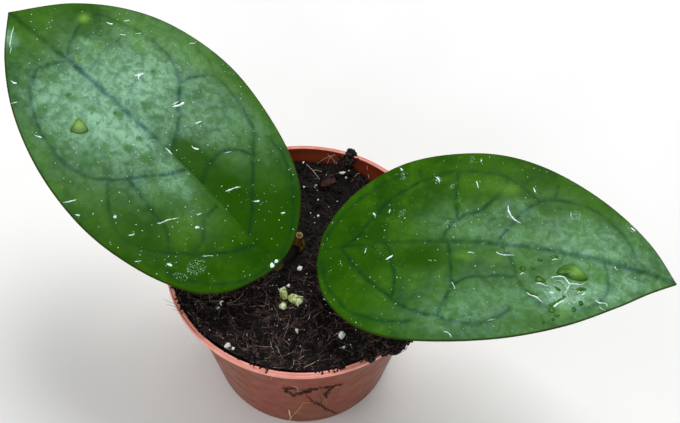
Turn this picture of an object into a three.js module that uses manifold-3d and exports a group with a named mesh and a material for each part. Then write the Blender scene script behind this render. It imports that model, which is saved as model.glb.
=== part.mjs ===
// A young hoya in a round plastic nursery pot: two large leaves with a net of sunken veins, each on its own
// rooted stem, a cluster of young shoots and rough potting soil.
// Millimetres, +Z up. The origin is the centre of the pot's flat base. -Y is the front.

import * as THREE from "three";
import { mergeVertices } from "three/addons/utils/BufferGeometryUtils.js";
import Module from "manifold-3d";

const wasm = await Module();
wasm.setup();

// Driving dimensions.
const GAP = 0.3; // between pieces that touch

const POT_HEIGHT = 64;
const RIM_RADIUS = 45;
const BASE_RADIUS = 32.4;
const DRAFT = 0.15; // outward lean of the wall, per millimetre of height
const FLARE = 2.4; // the wall's extra spread where it meets the lip
const FLARE_TALL = 5;
const WALL = 1.1;
const FLOOR = 1.6;
const LIP_TALL = 2.5;
const POT_SIDES = 48;
const DRAIN_HOLES = 8;
const DRAIN_RADIUS = 3.4;
const DRAIN_RING = 23;

const SOIL_LEVEL = 58.8; // at the pot's axis
const SOIL_FALL = 0.055; // towards the back, per millimetre
const SOIL_SIDES = 54;
const SOIL_RINGS = 13;
const SOIL_CRUMBS = 130;
const SOIL_SLACK = 0.15; // clears the flats between the pot's facets
const CRUMB_TALL = [-0.5, 1.4]; // lowest and highest
const CRUMB_WIDE = [1.6, 4.2];
const CLOD_FLAT = 0.62;

const BLADE_THICK = 1.5; // beside the midrib
const EDGE_THICK = 0.8;
const VEIN_DEPTH = 0.5;
const VEIN_WIDTH = 1.9;
const MIDRIB_DEPTH = 0.65;
const KEEL_TALL = 1.3; // the midrib's ridge underneath, at the base
const KEEL_WIDTH = 2.4;
const HALF_WIDTH = 35;
const FOLD = 0.07; // rise of each half from the midrib, per millimetre
const ROLL = 1.6; // how far the margins turn down
const STATIONS = 48; // along a blade, even
const COLUMNS = 12; // from midrib to margin, even

const COLOURS = {
  pot: { color: 0xb06450, roughness: 0.55 },
  soil: { color: 0x2a1d18, roughness: 0.95 },
  leaf: { color: 0x3b7a26, roughness: 0.35 },
  stem: { color: 0x7d7a45, roughness: 0.7 },
  shoot: { color: 0xb9cf78, roughness: 0.5 },
};

// A leaf lies over a flat chord plane through its base. p runs from base to tip, q to the left seen from
// above, both in millimetres; the surface stands off that plane by a height.
const LEFT_LEAF = {
  base: [-7, -13, 76],
  azimuth: 143.2,
  pitch: 17.7,
  bank: 0,
  arch: 5,
  bend: -0.8, // sideways bow of the midrib
  left: [
    [0, 0], [1, 7], [5, 18.5], [13, 27], [28, 33.2], [47, 35.8], [68, 33], [88, 25.2], [105, 13.6],
    [118.7, 0],
  ],
  right: [
    [0, 0], [1.2, -7.5], [6, -16.5], [15, -25.3], [31, -32.3], [55, -37.4], [76, -35.3],
    [93, -28.3], [108, -16], [118.7, 0],
  ],
  veins: [
    [
      [41, 0], [43, 4], [46, 9], [49.5, 14.5], [53.5, 20], [58, 23.5], [64, 25.6], [71, 25.6],
      [79, 23.4], [86, 20], [92, 15.5], [95.5, 10], [95, 5], [92.5, -1],
    ],
    [
      [9, 0.5], [12.5, 8], [17, 14.5], [22, 20], [28, 26], [34, 29.4], [40, 29.8], [45.5, 27.3],
      [50, 23.4], [53.5, 20],
    ],
    [[25, 22.5], [30, 19], [37, 17.5], [44, 16.6], [50, 15]],
    [[20, 17.8], [21.5, 12], [25, 7], [26, 1]],
    [[60, 24.5], [60, 28.5], [57.5, 32.5]],
    [
      [48, -1], [50.5, -5.5], [54, -10], [58, -14], [61.5, -18], [66, -22.4], [72, -24.3],
      [79, -24.9], [85, -24.4], [91, -22.4], [97, -20.3], [100.5, -15.5], [99, -10], [96.5, -5],
      [94.5, -1],
    ],
    [[85, -1], [86, -6], [88, -11.5], [87.5, -17], [88.5, -23]],
    [[66, -1], [68.5, -5], [72.5, -8.5], [73, -13]],
    [
      [13, -0.5], [17, -6], [22, -11], [26.5, -15.8], [31, -21], [36, -26], [43, -29], [50, -30.4],
      [57, -30.6], [60.5, -27], [63.5, -20.5],
    ],
    [[30, -19.5], [34.5, -17], [37.5, -12.5], [37, -6], [34, -1]],
    [[45, -29], [47.5, -24.5], [52, -21], [58.5, -19], [61, -17.5]],
    [[57, -30.6], [63, -33.2], [71, -34]],
    [[1.5, -3], [4.5, -11], [9.5, -17.6], [15, -22.8], [22, -26.5], [30, -28]],
    [[1.5, 4], [4, 12.5], [8.5, 19], [14, 24], [21, 27.5]],
  ],
};

const RIGHT_LEAF = {
  base: [5.5, -7.3, 76],
  azimuth: -4.3,
  pitch: 2.1,
  bank: 5,
  arch: 9,
  bend: 3.6,
  left: [
    [0, 0], [0.8, 6], [4.6, 14], [12, 22.5], [24, 30.3], [38, 34.2], [54, 35.2], [70, 31.5],
    [88, 22.5], [102, 11.4], [110.2, 0],
  ],
  right: [
    [0, 0], [0.2, -6], [3.5, -16], [12, -25], [24, -29.6], [40, -30], [58, -27.3], [75, -21.4],
    [90, -13], [101, -5.6], [110.2, 0],
  ],
  veins: [
    [
      [8, 1], [12, 5], [15, 10], [18.5, 14.5], [23, 19], [28.5, 23], [35, 26.2], [43, 28],
      [50, 28.1], [57, 26.8], [62.5, 22.8], [67, 19.3],
    ],
    [
      [54, 3.6], [57, 8], [60, 12], [63.5, 16.2], [67, 19.3], [72, 20.9], [79, 20.6], [86, 18.2],
      [92.5, 13.5], [96.5, 8.5], [97, 3.4],
    ],
    [[38, 3.6], [40, 8.5], [44, 12], [49.5, 15.4], [54, 19.5], [57.5, 26.5]],
    [[41.5, 27.7], [41, 20], [42.5, 10.5]],
    [[33, 25.4], [32, 18], [30.5, 11], [29, 3.1]],
    [[30.5, 24], [29.5, 28]],
    [[61, 24.2], [65.5, 28.6]],
    [[71.5, 20.9], [73, 26]],
    [
      [7, 0.6], [11, -4.5], [15.5, -9.5], [21, -14.8], [27, -19.3], [33, -21.6], [38, -22.4],
      [43, -23.9], [49, -24], [54.5, -22], [58.5, -18],
    ],
    [[40, 3.6], [40.5, -2], [41, -7.5], [41.5, -12], [39.5, -17], [38, -22.4]],
    [[41.5, -12], [46.5, -9.2], [52, -8.3], [59.5, -7]],
    [
      [56, 3.4], [58.3, -1.5], [60.3, -6.5], [62.5, -11.5], [67, -15], [73, -16.9], [80, -15.4],
      [86, -11], [88.5, -4], [87, 3.6],
    ],
    [[21, 2.2], [23, -4], [24.5, -10], [24, -17]],
    [[1, -4], [4, -12], [8.5, -18.5], [15, -23], [23, -24.8], [30, -24.5]],
    [[1.5, 3.5], [5, 10.5], [10, 16.8], [17, 22.6], [25, 26.5]],
  ],
};

// Each stem is a list of [x, y, z, radius], from its foot in the soil to its dried cut end.
const LEFT_STEM = [
  [-2.4, 4.8, 44, 1.9],
  [-2.3, 4.3, 56, 2],
  [-2.2, 3.8, 60.5, 2.2],
  [-2.1, 3.5, 63, 2.9],
  [-1.9, 3.3, 65.2, 2],
  [-1.4, 3.2, 69.4, 1.8],
];
const RIGHT_STEM = [
  [13.2, -8.2, 44, 1.9],
  [13, -8.4, 56, 2],
  [12.8, -8.5, 61, 2.2],
  [12.6, -8.6, 63.6, 2.9],
  [12.8, -8.5, 65.8, 2],
  [13.4, -8.2, 69, 1.8],
];

// A petiole starts inside the blade at [p, q, below the surface], runs free at [x, y, z] and ends in
// its stem's node.
const LEFT_PETIOLE = {
  blade: [[13, 0, 1.5], [6, 0, 2.3], [0.4, 0, 2.5]],
  free: [[-5.7, -8.9, 70.4], [-4.5, -4.9, 66.2], [-3.3, -0.9, 63.8]],
  node: [-2.1, 3.5, 63],
  radius: 1.55,
};
const RIGHT_PETIOLE = {
  blade: [[15, 1.6, 1.5], [8, 0.9, 2.3], [3.4, 0.4, 3.2]],
  free: [[10, -8.2, 69.8]],
  node: [12.6, -8.6, 63.6],
  radius: 1.55,
};

const SHOOT_CROWN = [-3.6, -16.4, 57.6];
// Young shoots: foot, tip and widest radius.
const SHOOTS = [
  { foot: [-4.6, -15.8, 57.5], tip: [-5.6, -13, 63], radius: 1.35 },
  { foot: [-3.2, -16.4, 58.2], tip: [1.3, -18.3, 62.2], radius: 1.6 },
  { foot: [-4.6, -17.4, 57.5], tip: [-6.2, -19.2, 61.6], radius: 1.15 },
];

// Soil is banked up against the rim at the right front and at the back: [x, y, height, width].
const BANKS = [[29, -27, 3.2, 9], [23, -34, 1.6, 6], [0, 46, 3.4, 18], [13, 38, 3.2, 5]];
// Clods lying on the rim there: [x, y, z, radius].
const CLODS = [
  [29.8, -31, 63.8, 5],
  [33, -28.8, 64, 4.2],
  [26, -33.2, 63.6, 4.2],
  [34.6, -24.8, 64, 3.8],
  [22.4, -36, 63.6, 3.2],
  [13, 39.6, 62.2, 3],
  [14.6, 42.2, 63.8, 2],
];

// A small generator, so that every random draw is the same in each build.
function seeded(seed) {
  let state = seed;
  return () => {
    state = (state * 16807) % 2147483647;
    return state / 2147483647;
  };
}

function geometryOf(points, triangles) {
  return new THREE.BufferGeometry()
    .setAttribute("position", new THREE.BufferAttribute(new Float32Array(points.flat()), 3))
    .setIndex(triangles.flat());
}

function solidOf(geometry) {
  const bare = geometry.clone();
  bare.deleteAttribute("normal");
  bare.deleteAttribute("uv");
  const merged = mergeVertices(bare, 1e-4);
  return new wasm.Manifold(
    new wasm.Mesh({
      numProp: 3,
      vertProperties: merged.attributes.position.array,
      triVerts: new Uint32Array(merged.index.array),
    }),
  );
}

function geometryFrom(solid) {
  const mesh = solid.getMesh();
  return new THREE.BufferGeometry()
    .setAttribute("position", new THREE.BufferAttribute(mesh.vertProperties, 3))
    .setIndex(new THREE.BufferAttribute(mesh.triVerts, 1));
}

function named(name, solid, look) {
  const geometry = geometryFrom(solid);
  geometry.computeVertexNormals();
  const mesh = new THREE.Mesh(geometry, new THREE.MeshStandardMaterial({ ...look, metalness: 0 }));
  mesh.name = name;
  return mesh;
}

function lathe(profile, sides) {
  const turned = new THREE.LatheGeometry(profile.map(([r, z]) => new THREE.Vector2(r, z)), sides);
  return solidOf(turned.rotateX(Math.PI / 2));
}

// A round body along a spline, with a radius given at each of the spline's own points and closed ends.
function taperedTube(points, radii, steps, sides) {
  const knots = points.map((p) => new THREE.Vector3(...p));
  const curve = new THREE.CatmullRomCurve3(knots, false, "centripetal");
  const frames = curve.computeFrenetFrames(steps, false);
  const vertices = [];
  const triangles = [];
  for (let i = 0; i <= steps; i++) {
    const t = i / steps;
    const along = curve.getUtoTmapping(t) * (radii.length - 1);
    const k = Math.min(Math.floor(along), radii.length - 2);
    const radius = THREE.MathUtils.lerp(radii[k], radii[k + 1], along - k);
    const centre = curve.getPointAt(t);
    for (let j = 0; j < sides; j++) {
      const angle = (2 * Math.PI * j) / sides;
      const out = frames.normals[i].clone().multiplyScalar(Math.cos(angle) * radius);
      out.addScaledVector(frames.binormals[i], Math.sin(angle) * radius);
      vertices.push(centre.clone().add(out).toArray());
    }
  }
  for (let i = 0; i < steps; i++)
    for (let j = 0; j < sides; j++) {
      const a = i * sides + j;
      const b = i * sides + ((j + 1) % sides);
      triangles.push([a, b, b + sides], [a, b + sides, a + sides]);
    }
  const first = vertices.push(curve.getPointAt(0).toArray()) - 1;
  const last = vertices.push(curve.getPointAt(1).toArray()) - 1;
  for (let j = 0; j < sides; j++) {
    const next = (j + 1) % sides;
    triangles.push([first, next, j], [last, steps * sides + j, steps * sides + next]);
  }
  return solidOf(geometryOf(vertices, triangles));
}

function stemSolid(stem, extra = 0) {
  return taperedTube(stem.map((s) => s.slice(0, 3)), stem.map((s) => s[3] + extra), 18, 10);
}

const LIP_UNDER = POT_HEIGHT - LIP_TALL;

// Outer radius of the wall: a straight draft that flares just under the lip.
function wallRadius(z) {
  return BASE_RADIUS + DRAFT * z + FLARE * Math.exp((z - LIP_UNDER) / FLARE_TALL);
}

// The pot's outline from the axis out, up, over the lip and down the inside, grown by extra all round.
function potProfile(extra = 0) {
  const heights = [40, 52, 58];
  const inside = wallRadius(LIP_UNDER) - WALL;
  return [
    [0, -extra],
    [BASE_RADIUS - 1.2 + extra, -extra],
    [BASE_RADIUS - 0.3 + extra, 0.35],
    [wallRadius(1.4) + extra, 1.4],
    ...heights.map((z) => [wallRadius(z) + extra, z]),
    [wallRadius(LIP_UNDER) + extra, LIP_UNDER - extra],
    [RIM_RADIUS - 0.5 + extra, LIP_UNDER - extra],
    [RIM_RADIUS + extra, LIP_UNDER + 0.5],
    [RIM_RADIUS + extra, POT_HEIGHT - 0.6],
    [RIM_RADIUS - 0.5 + extra / 2, POT_HEIGHT + extra],
    [inside + 0.5 - extra / 2, POT_HEIGHT + extra],
    [inside - extra, POT_HEIGHT - 0.6],
    [inside - extra, LIP_UNDER],
    ...heights.toReversed().map((z) => [wallRadius(z) - WALL - extra, z]),
    [wallRadius(FLOOR + 1.2) - WALL - extra, FLOOR + 1.2],
    [wallRadius(FLOOR) - WALL - extra - 1.1, FLOOR + extra],
    [0, FLOOR + extra],
  ];
}

function makePot() {
  let pot = lathe(potProfile(), POT_SIDES);
  const drain = new THREE.CylinderGeometry(DRAIN_RADIUS, DRAIN_RADIUS, 3 * FLOOR, 16).rotateX(Math.PI / 2);
  for (let k = 0; k < DRAIN_HOLES; k++) {
    const angle = (2 * Math.PI * (k + 0.5)) / DRAIN_HOLES;
    const [x, y] = [Math.cos(angle) * DRAIN_RING, Math.sin(angle) * DRAIN_RING];
    pot = pot.subtract(solidOf(drain.clone().translate(x, y, FLOOR / 2)));
  }
  return pot;
}

// The level that the soil lies at, before its crumbs.
function soilLevel(x, y) {
  return SOIL_LEVEL - SOIL_FALL * y + 0.9 * Math.sin(x / 13 + 1) * Math.cos(y / 15);
}

function bump(x, y, at, height, width) {
  return height * Math.exp(-((x - at[0]) ** 2 + (y - at[1]) ** 2) / width ** 2);
}

// Height of the soil's top: its level, the banks at the rim, and seeded crumbs and grains raised from it.
function soilTop() {
  const random = seeded(20417);
  const reach = wallRadius(SOIL_LEVEL) - WALL - 2;
  const crumbs = [];
  for (let k = 0; k < SOIL_CRUMBS; k++) {
    const r = reach * Math.sqrt(random());
    const angle = 2 * Math.PI * random();
    const at = [r * Math.cos(angle), r * Math.sin(angle)];
    const tall = THREE.MathUtils.lerp(...CRUMB_TALL, random());
    crumbs.push([at, tall, THREE.MathUtils.lerp(...CRUMB_WIDE, random())]);
  }
  return (x, y) => {
    let z = soilLevel(x, y);
    for (const [bx, by, tall, wide] of BANKS) z += bump(x, y, [bx, by], tall, wide);
    for (const [at, tall, wide] of crumbs) z += bump(x, y, at, tall, wide);
    return z;
  };
}

function soilPlug() {
  const top = soilTop();
  const radiusAt = (z) => wallRadius(z) - WALL - GAP - SOIL_SLACK;
  const points = [[0, 0, top(0, 0)]];
  const triangles = [];
  const ring = (k, j) => 1 + k * SOIL_SIDES + (j % SOIL_SIDES);
  for (let k = 0; k < SOIL_RINGS; k++)
    for (let j = 0; j < SOIL_SIDES; j++) {
      const angle = (2 * Math.PI * j) / SOIL_SIDES;
      const wall = radiusAt(soilLevel(0, RIM_RADIUS * Math.sin(angle)) - 1.2);
      const r = (wall * (k + 1)) / SOIL_RINGS;
      const [x, y] = [r * Math.cos(angle), r * Math.sin(angle)];
      points.push([x, y, top(x, y)]);
    }
  const low = [53, 48, FLOOR + 1.6, FLOOR + GAP];
  for (const [k, z] of low.entries())
    for (let j = 0; j < SOIL_SIDES; j++) {
      const angle = (2 * Math.PI * j) / SOIL_SIDES;
      const r = radiusAt(z) - (k === low.length - 1 ? 1.4 : 0);
      points.push([r * Math.cos(angle), r * Math.sin(angle), z]);
    }
  const foot = points.push([0, 0, FLOOR + GAP]) - 1;
  const rings = SOIL_RINGS + low.length;
  for (let j = 0; j < SOIL_SIDES; j++) {
    triangles.push([0, ring(0, j), ring(0, j + 1)], [foot, ring(rings - 1, j + 1), ring(rings - 1, j)]);
    for (let k = 0; k + 1 < rings; k++) {
      triangles.push([ring(k, j), ring(k + 1, j), ring(k + 1, j + 1)]);
      triangles.push([ring(k, j), ring(k + 1, j + 1), ring(k, j + 1)]);
    }
  }
  return solidOf(geometryOf(points, triangles));
}

function clod([x, y, z, radius], random) {
  const rough = new THREE.IcosahedronGeometry(radius, radius > 4.5 ? 2 : 1);
  const ball = mergeVertices(rough.deleteAttribute("normal").deleteAttribute("uv"), 1e-4);
  const at = ball.getAttribute("position");
  for (let i = 0; i < at.count; i++) {
    const swell = 0.82 + 0.34 * random();
    at.setXYZ(i, at.getX(i) * swell, at.getY(i) * swell, at.getZ(i) * swell * CLOD_FLAT);
  }
  return solidOf(ball.translate(x, y, z));
}

function makeSoil(pockets) {
  const random = seeded(733);
  let soil = soilPlug();
  for (const c of CLODS) soil = soil.add(clod(c, random));
  soil = soil.subtract(lathe(potProfile(GAP), POT_SIDES));
  for (const p of pockets) soil = soil.subtract(p);
  const bodies = soil.decompose();
  return bodies.reduce((a, b) => (a.volume() > b.volume() ? a : b));
}

// Turns a leaf's [p, q, height] into the part's frame.
function leafFrame(leaf) {
  const [a, t, b] = [leaf.azimuth, leaf.pitch, leaf.bank].map(THREE.MathUtils.degToRad);
  const along = new THREE.Vector3(Math.cos(a) * Math.cos(t), Math.sin(a) * Math.cos(t), Math.sin(t));
  const level = new THREE.Vector3(-Math.sin(a), Math.cos(a), 0);
  const up = along.clone().cross(level);
  const across = level.multiplyScalar(Math.cos(b)).addScaledVector(up, Math.sin(b));
  const normal = along.clone().cross(across);
  return (p, q, h) =>
    new THREE.Vector3(...leaf.base)
      .addScaledVector(along, p)
      .addScaledVector(across, q)
      .addScaledVector(normal, h)
      .toArray();
}

function leafLength(leaf) {
  return leaf.left.at(-1)[0];
}

function midribAt(leaf, p) {
  const u = p / leafLength(leaf);
  return leaf.bend * 4 * u * (1 - u);
}

function leafHeight(leaf, p, q) {
  const u = p / leafLength(leaf);
  const off = q - midribAt(leaf, p);
  const edge = Math.min(Math.abs(off) / HALF_WIDTH, 1.3);
  return leaf.arch * 4 * u * (1 - u) + (Math.sqrt(off * off + 4) - 2) * FOLD - ROLL * edge ** 5;
}

function splineOf(points) {
  return new THREE.SplineCurve(points.map((p) => new THREE.Vector2(...p)));
}

function distanceToSegment(p, q, a, b) {
  const [dx, dy] = [b.x - a.x, b.y - a.y];
  const t = THREE.MathUtils.clamp(((p - a.x) * dx + (q - a.y) * dy) / (dx * dx + dy * dy), 0, 1);
  return Math.hypot(p - a.x - t * dx, q - a.y - t * dy);
}

// Depth of the veins pressed into the upper face: the midrib, and the net of loops.
function veinRelief(leaf) {
  const runs = leaf.veins.map((v) => splineOf(v).getPoints(4 * v.length));
  return (p, q) => {
    const off = Math.abs(q - midribAt(leaf, p));
    let deep = MIDRIB_DEPTH * Math.exp(-((off / VEIN_WIDTH) ** 2));
    for (const run of runs)
      for (let k = 0; k + 1 < run.length; k++) {
        const d = distanceToSegment(p, q, run[k], run[k + 1]) / VEIN_WIDTH;
        if (d < 2.5) deep = Math.max(deep, VEIN_DEPTH * Math.exp(-d * d));
      }
    return deep;
  };
}

function bladeSolid(leaf) {
  const place = leafFrame(leaf);
  const relief = veinRelief(leaf);
  const length = leafLength(leaf);
  const sides = [leaf.left, leaf.right].map((margin) => splineOf(margin).getSpacedPoints(STATIONS));
  const points = [];
  const index = new Map();
  const vertex = (face, i, j) => {
    const end = i === 0 || i === STATIONS;
    const key = `${face},${i},${end ? 0 : j}`;
    if (index.has(key)) return index.get(key);
    const rib = (length * i) / STATIONS;
    const margin = j >= 0 ? sides[0][i] : sides[1][i];
    const share = end ? 0 : Math.abs(j) / COLUMNS;
    const p = end ? margin.x : THREE.MathUtils.lerp(rib, margin.x, share);
    const q = end ? 0 : THREE.MathUtils.lerp(midribAt(leaf, rib), margin.y, share);
    const top = leafHeight(leaf, p, q) - (end ? 0 : relief(p, q) * (1 - share ** 6));
    const off = q - midribAt(leaf, p);
    const keel = KEEL_TALL * (1 - i / STATIONS) * Math.exp(-((off / KEEL_WIDTH) ** 2));
    const thick = end ? EDGE_THICK : THREE.MathUtils.lerp(BLADE_THICK, EDGE_THICK, share ** 3) + keel;
    const h = face === "top" ? top : leafHeight(leaf, p, q) - thick;
    index.set(key, points.push(place(p, q, h)) - 1);
    return index.get(key);
  };
  const triangles = [];
  const add = (a, b, c) => {
    if (a !== b && b !== c && a !== c) triangles.push([a, b, c]);
  };
  const sheet = (face, step, flip) => {
    for (let i = 0; i < STATIONS; i += step)
      for (let j = -COLUMNS; j < COLUMNS; j += step) {
        const [a, b] = [vertex(face, i, j), vertex(face, i + step, j)];
        const [c, d] = [vertex(face, i + step, j + step), vertex(face, i, j + step)];
        for (const [u, v] of [[b, c], [c, d]]) flip ? add(a, v, u) : add(a, u, v);
      }
  };
  sheet("top", 1, false);
  sheet("under", 2, true);
  for (const side of [COLUMNS, -COLUMNS])
    for (let i = 0; i < STATIONS; i += 2) {
      const upper = [0, 1, 2].map((k) => vertex("top", i + k, side));
      const [low, high] = [vertex("under", i, side), vertex("under", i + 2, side)];
      const strip = [[low, upper[1], upper[0]], [low, high, upper[1]], [high, upper[2], upper[1]]];
      for (const [a, b, c] of strip) side > 0 ? add(a, c, b) : add(a, b, c);
    }
  return solidOf(geometryOf(points, triangles));
}

function makeLeaf(leaf, petiole, stem) {
  const place = leafFrame(leaf);
  const inBlade = petiole.blade.map(([p, q, below]) => place(p, q, leafHeight(leaf, p, q) - below));
  const path = [...inBlade, ...petiole.free, petiole.node];
  const radii = path.map((_, k) => petiole.radius * (k === 0 ? 0.45 : k === path.length - 1 ? 1.25 : 1));
  return bladeSolid(leaf)
    .add(taperedTube(path, radii, 22, 10))
    .subtract(stemSolid(stem, GAP));
}

function makeShoots(extra = 0) {
  const crown = new THREE.IcosahedronGeometry(2.1 + extra, 2).translate(...SHOOT_CROWN);
  return SHOOTS.reduce((cluster, { foot, tip, radius }) => {
    const at = (t) => foot.map((f, k) => THREE.MathUtils.lerp(f, tip[k], t));
    const radii = [0.75, 1, 0.95, 0.45].map((share) => share * radius + extra);
    return cluster.add(taperedTube([at(0), at(0.4), at(0.75), at(1 + extra / 8)], radii, 8, 8));
  }, solidOf(crown));
}

const plant = new THREE.Group();
const pockets = [stemSolid(LEFT_STEM, GAP), stemSolid(RIGHT_STEM, GAP), makeShoots(GAP)];
plant.add(named("pot", makePot(), COLOURS.pot));
plant.add(named("soil", makeSoil(pockets), COLOURS.soil));
plant.add(named("left_stem", stemSolid(LEFT_STEM), COLOURS.stem));
plant.add(named("right_stem", stemSolid(RIGHT_STEM), COLOURS.stem));
plant.add(named("left_leaf", makeLeaf(LEFT_LEAF, LEFT_PETIOLE, LEFT_STEM), COLOURS.leaf));
plant.add(named("right_leaf", makeLeaf(RIGHT_LEAF, RIGHT_PETIOLE, RIGHT_STEM), COLOURS.leaf));
plant.add(named("young_shoots", makeShoots(), COLOURS.shoot));

export default plant;
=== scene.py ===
# A young hoya in a round nursery pot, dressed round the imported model: waxy net-veined leaves, woody
# stems, fibrous potting soil and a pot of terracotta-coloured plastic. Shapes are worked out in
# millimetres in the part's own frame, +Z up and -Y to the front, and become metres in each mesh.

import math

import bmesh
import bpy
import numpy as np
from mathutils import Matrix, Vector, noise


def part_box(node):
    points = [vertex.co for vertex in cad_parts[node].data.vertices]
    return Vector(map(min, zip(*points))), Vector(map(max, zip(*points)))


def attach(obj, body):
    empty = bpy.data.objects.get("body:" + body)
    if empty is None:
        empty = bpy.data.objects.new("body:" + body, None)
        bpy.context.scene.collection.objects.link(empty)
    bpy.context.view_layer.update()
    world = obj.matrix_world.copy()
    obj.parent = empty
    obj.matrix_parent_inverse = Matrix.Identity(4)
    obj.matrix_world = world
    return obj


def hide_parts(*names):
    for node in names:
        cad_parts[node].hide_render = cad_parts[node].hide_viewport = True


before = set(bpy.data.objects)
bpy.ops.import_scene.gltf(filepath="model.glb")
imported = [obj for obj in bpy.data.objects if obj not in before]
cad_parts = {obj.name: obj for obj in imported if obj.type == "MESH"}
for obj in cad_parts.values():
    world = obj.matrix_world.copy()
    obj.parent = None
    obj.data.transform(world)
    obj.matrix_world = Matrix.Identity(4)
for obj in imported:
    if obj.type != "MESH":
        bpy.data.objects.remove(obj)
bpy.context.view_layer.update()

MM = 0.001

# The pot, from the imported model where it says.
POT_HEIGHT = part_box("pot")[1].z / MM
RIM_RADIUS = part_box("pot")[1].x / MM
BASE_RADIUS = 32.4
DRAFT = 0.15  # outward lean of the wall, per millimetre of height
FLARE = 2.4  # the wall's extra spread under the lip
FLARE_TALL = 5
WALL = 1.1
FLOOR = 1.6
LIP_UNDER = POT_HEIGHT - 2.5
# The lip's top band, painted pinker and lighter as the part lit from above while the wall is in shade.
BAND_TALL = 1.6  # the pinker band of the lip
RIM_WIDTH = 1.6
POT_SIDES = 192
DRAIN_HOLES = 8
DRAIN_RADIUS = 3.4
DRAIN_RING = 23
BEAD = 0.42  # radius of the lip's outer edge
RIM_ROUND = 0.3
# Steps of the pot's outline: radius and height, or how far in from an edge and how far up or down.
FOOT_GROOVE = [(9.6, 0), (9.8, 0.2), (10.2, 0.2), (10.4, 0)]
BASE_EDGE = [(1.2, 0), (0.6, 0.12), (0.2, 0.5)]
BAND_EDGE = [(0.34, 0), (0.06, 0.12), (0, 0.4)]
RIM_GROOVE = [(0.56, 0.26), (0.68, 0.4), (0.8, 0.28), (0.88, 0.06), (0.98, 0)]

# The soil.
GAP = 0.3  # between pieces that touch
SOIL_LEVEL = 58.8
SOIL_FALL = 0.055  # towards the back, per millimetre
SOIL_SIDES = 360
SOIL_RINGS = 90
CLOD_CORE = 0.8  # share of a clod's radius before its crumbs
CLOD_FLAT = 0.6  # a clod's height over its width
SOIL_LUMPS = 130
LUMP_SEED = 20417
LUMP_TALL = (-0.5, 1.4)
LUMP_WIDE = (1.6, 4.2)
CRUMBS = 2700
FIBRES = 4150
FIBRE_KNOTS = 5
FREE_THREAD = 61.5  # the height from which a thread need not lie on the soil
SMALL_GRAINS = 190
SMALL_BARK = 26
EDGE_RISE = 3.6  # of the soil up to the rim at the front left
# Soil banked up against the rim: x, y, height, width.
BANKS = [(29, -27, 3.2, 9), (23, -34, 1.6, 6), (0, 46, 3.4, 18), (13, 38, 3.2, 5)]
# Clods lying on the rim there: x, y, z, radius.
CLODS = [
    (29.8, -31, 63.8, 5), (33, -28.8, 64, 4.2), (26, -33.2, 63.6, 4.2), (34.6, -24.8, 64, 3.8),
    (22.4, -36, 63.6, 3.2), (13, 39.6, 62.2, 3), (14.6, 42.2, 63.8, 2),
]

# The blades.
HALF_WIDTH = 35
FOLD = 0.07  # rise of each half from the midrib, per millimetre
ROLL = 1.6  # how far the margins turn down
BLADE_THICK = 1.5
EDGE_THICK = 0.8
EDGE_REACH = 6
KEEL_TALL = 1.3
KEEL_WIDTH = 2.4
RIDGE_TALL = 0.28  # of the veins on the lower face
RIDGE_WIDTH = 0.9
EDGE_BULGE = 0.22
FOLD_SOFT = 2  # half width of the rounded bottom of the fold
VEIN_CAP = 9  # distances are measured up to here
MARGIN_CAP = 16
BLADE_ROWS = 300
BLADE_COLUMNS = 90  # on each side of the midrib
QUILT = 0.2  # rise of the blade between its veins
QUILT_REACH = 4.5
VEIN_CUT = 0.05
FAINT = 0.5  # how much farther off a faint vein counts as being
VEIN_HALF = 0.5
RIB_CUT = 0.18
RIB_HALF = 0.6
RELIEF_REACH = 4  # over which the relief fades out at the margin

# Stalks, stems, buds and marks.
STALK_STEPS = 60
STALK_SIDES = 28
STEM_STEPS = 90
STEM_SIDES = 32
CUT_DISH = 0.7
BRACTS = 5  # scale leaves round each bud
BRACT_ROWS = 14
BRACT_COLUMNS = 8
BRACT_THICK = 0.28
STREAK_SIDES = 8
DOME_SINK = 0.03  # how far the edge of a drop or mark lies below the leaf's face
DOME_DEEP = 0.09  # and its lowest point below that edge

# How tubes swell and taper: shares of their length, and the radius there.
STALK_TAPER = ([0, 0.2, 0.5, 0.85, 1], [0.3, 0.8, 0.85, 0.95, 1.3])
BUD_TAPER = ([0, 0.4, 0.8, 1], [0.6, 0.8, 0.7, 0.3])
STREAK_TAPER = ([0, 0.08, 0.3, 0.75, 1], [0.35, 0.8, 1, 0.8, 0.2])
FIBRE_TAPER = ([0, 0.3, 1], [0.6, 1, 0.35])
THREAD_TAPER = ([0, 0.2, 0.8, 1], [0.6, 1, 0.9, 0.4])
ROOTLET_TAPER = ([0, 0.3, 1], [0.8, 1, 0.4])
SMEAR_TAPER = ([0, 0.15, 0.8, 1], [0.5, 1, 0.9, 0.3])


def srgb(red, green, blue):
    """A linear colour from its 0 to 255 values on screen."""
    shares = [c / 255 for c in (red, green, blue)]
    return tuple(s / 12.92 if s <= 0.04045 else ((s + 0.055) / 1.055) ** 2.4 for s in shares)


# Colours as they look on screen

# The darkest green, as a tone of the leaf and as the colour of its painted shade.
LEAF_DEEP_AND_SHADE = srgb(32, 76, 0)
LEAF_GREEN = srgb(52, 100, 4)
LEAF_FRESH = srgb(72, 120, 14)
# Painted sheen of the cuticle: its pale mottled colour and its haze.
LEAF_PAINTED_SHEEN = srgb(138, 188, 154)
LEAF_PAINTED_HAZE = srgb(162, 204, 174)
LEAF_SPOT = srgb(62, 116, 46)
LEAF_VEIN = srgb(18, 60, 24)
# Veins painted hazier where the painted sheen lies over them.
LEAF_VEIN_UNDER_SHEEN = srgb(58, 100, 96)
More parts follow.
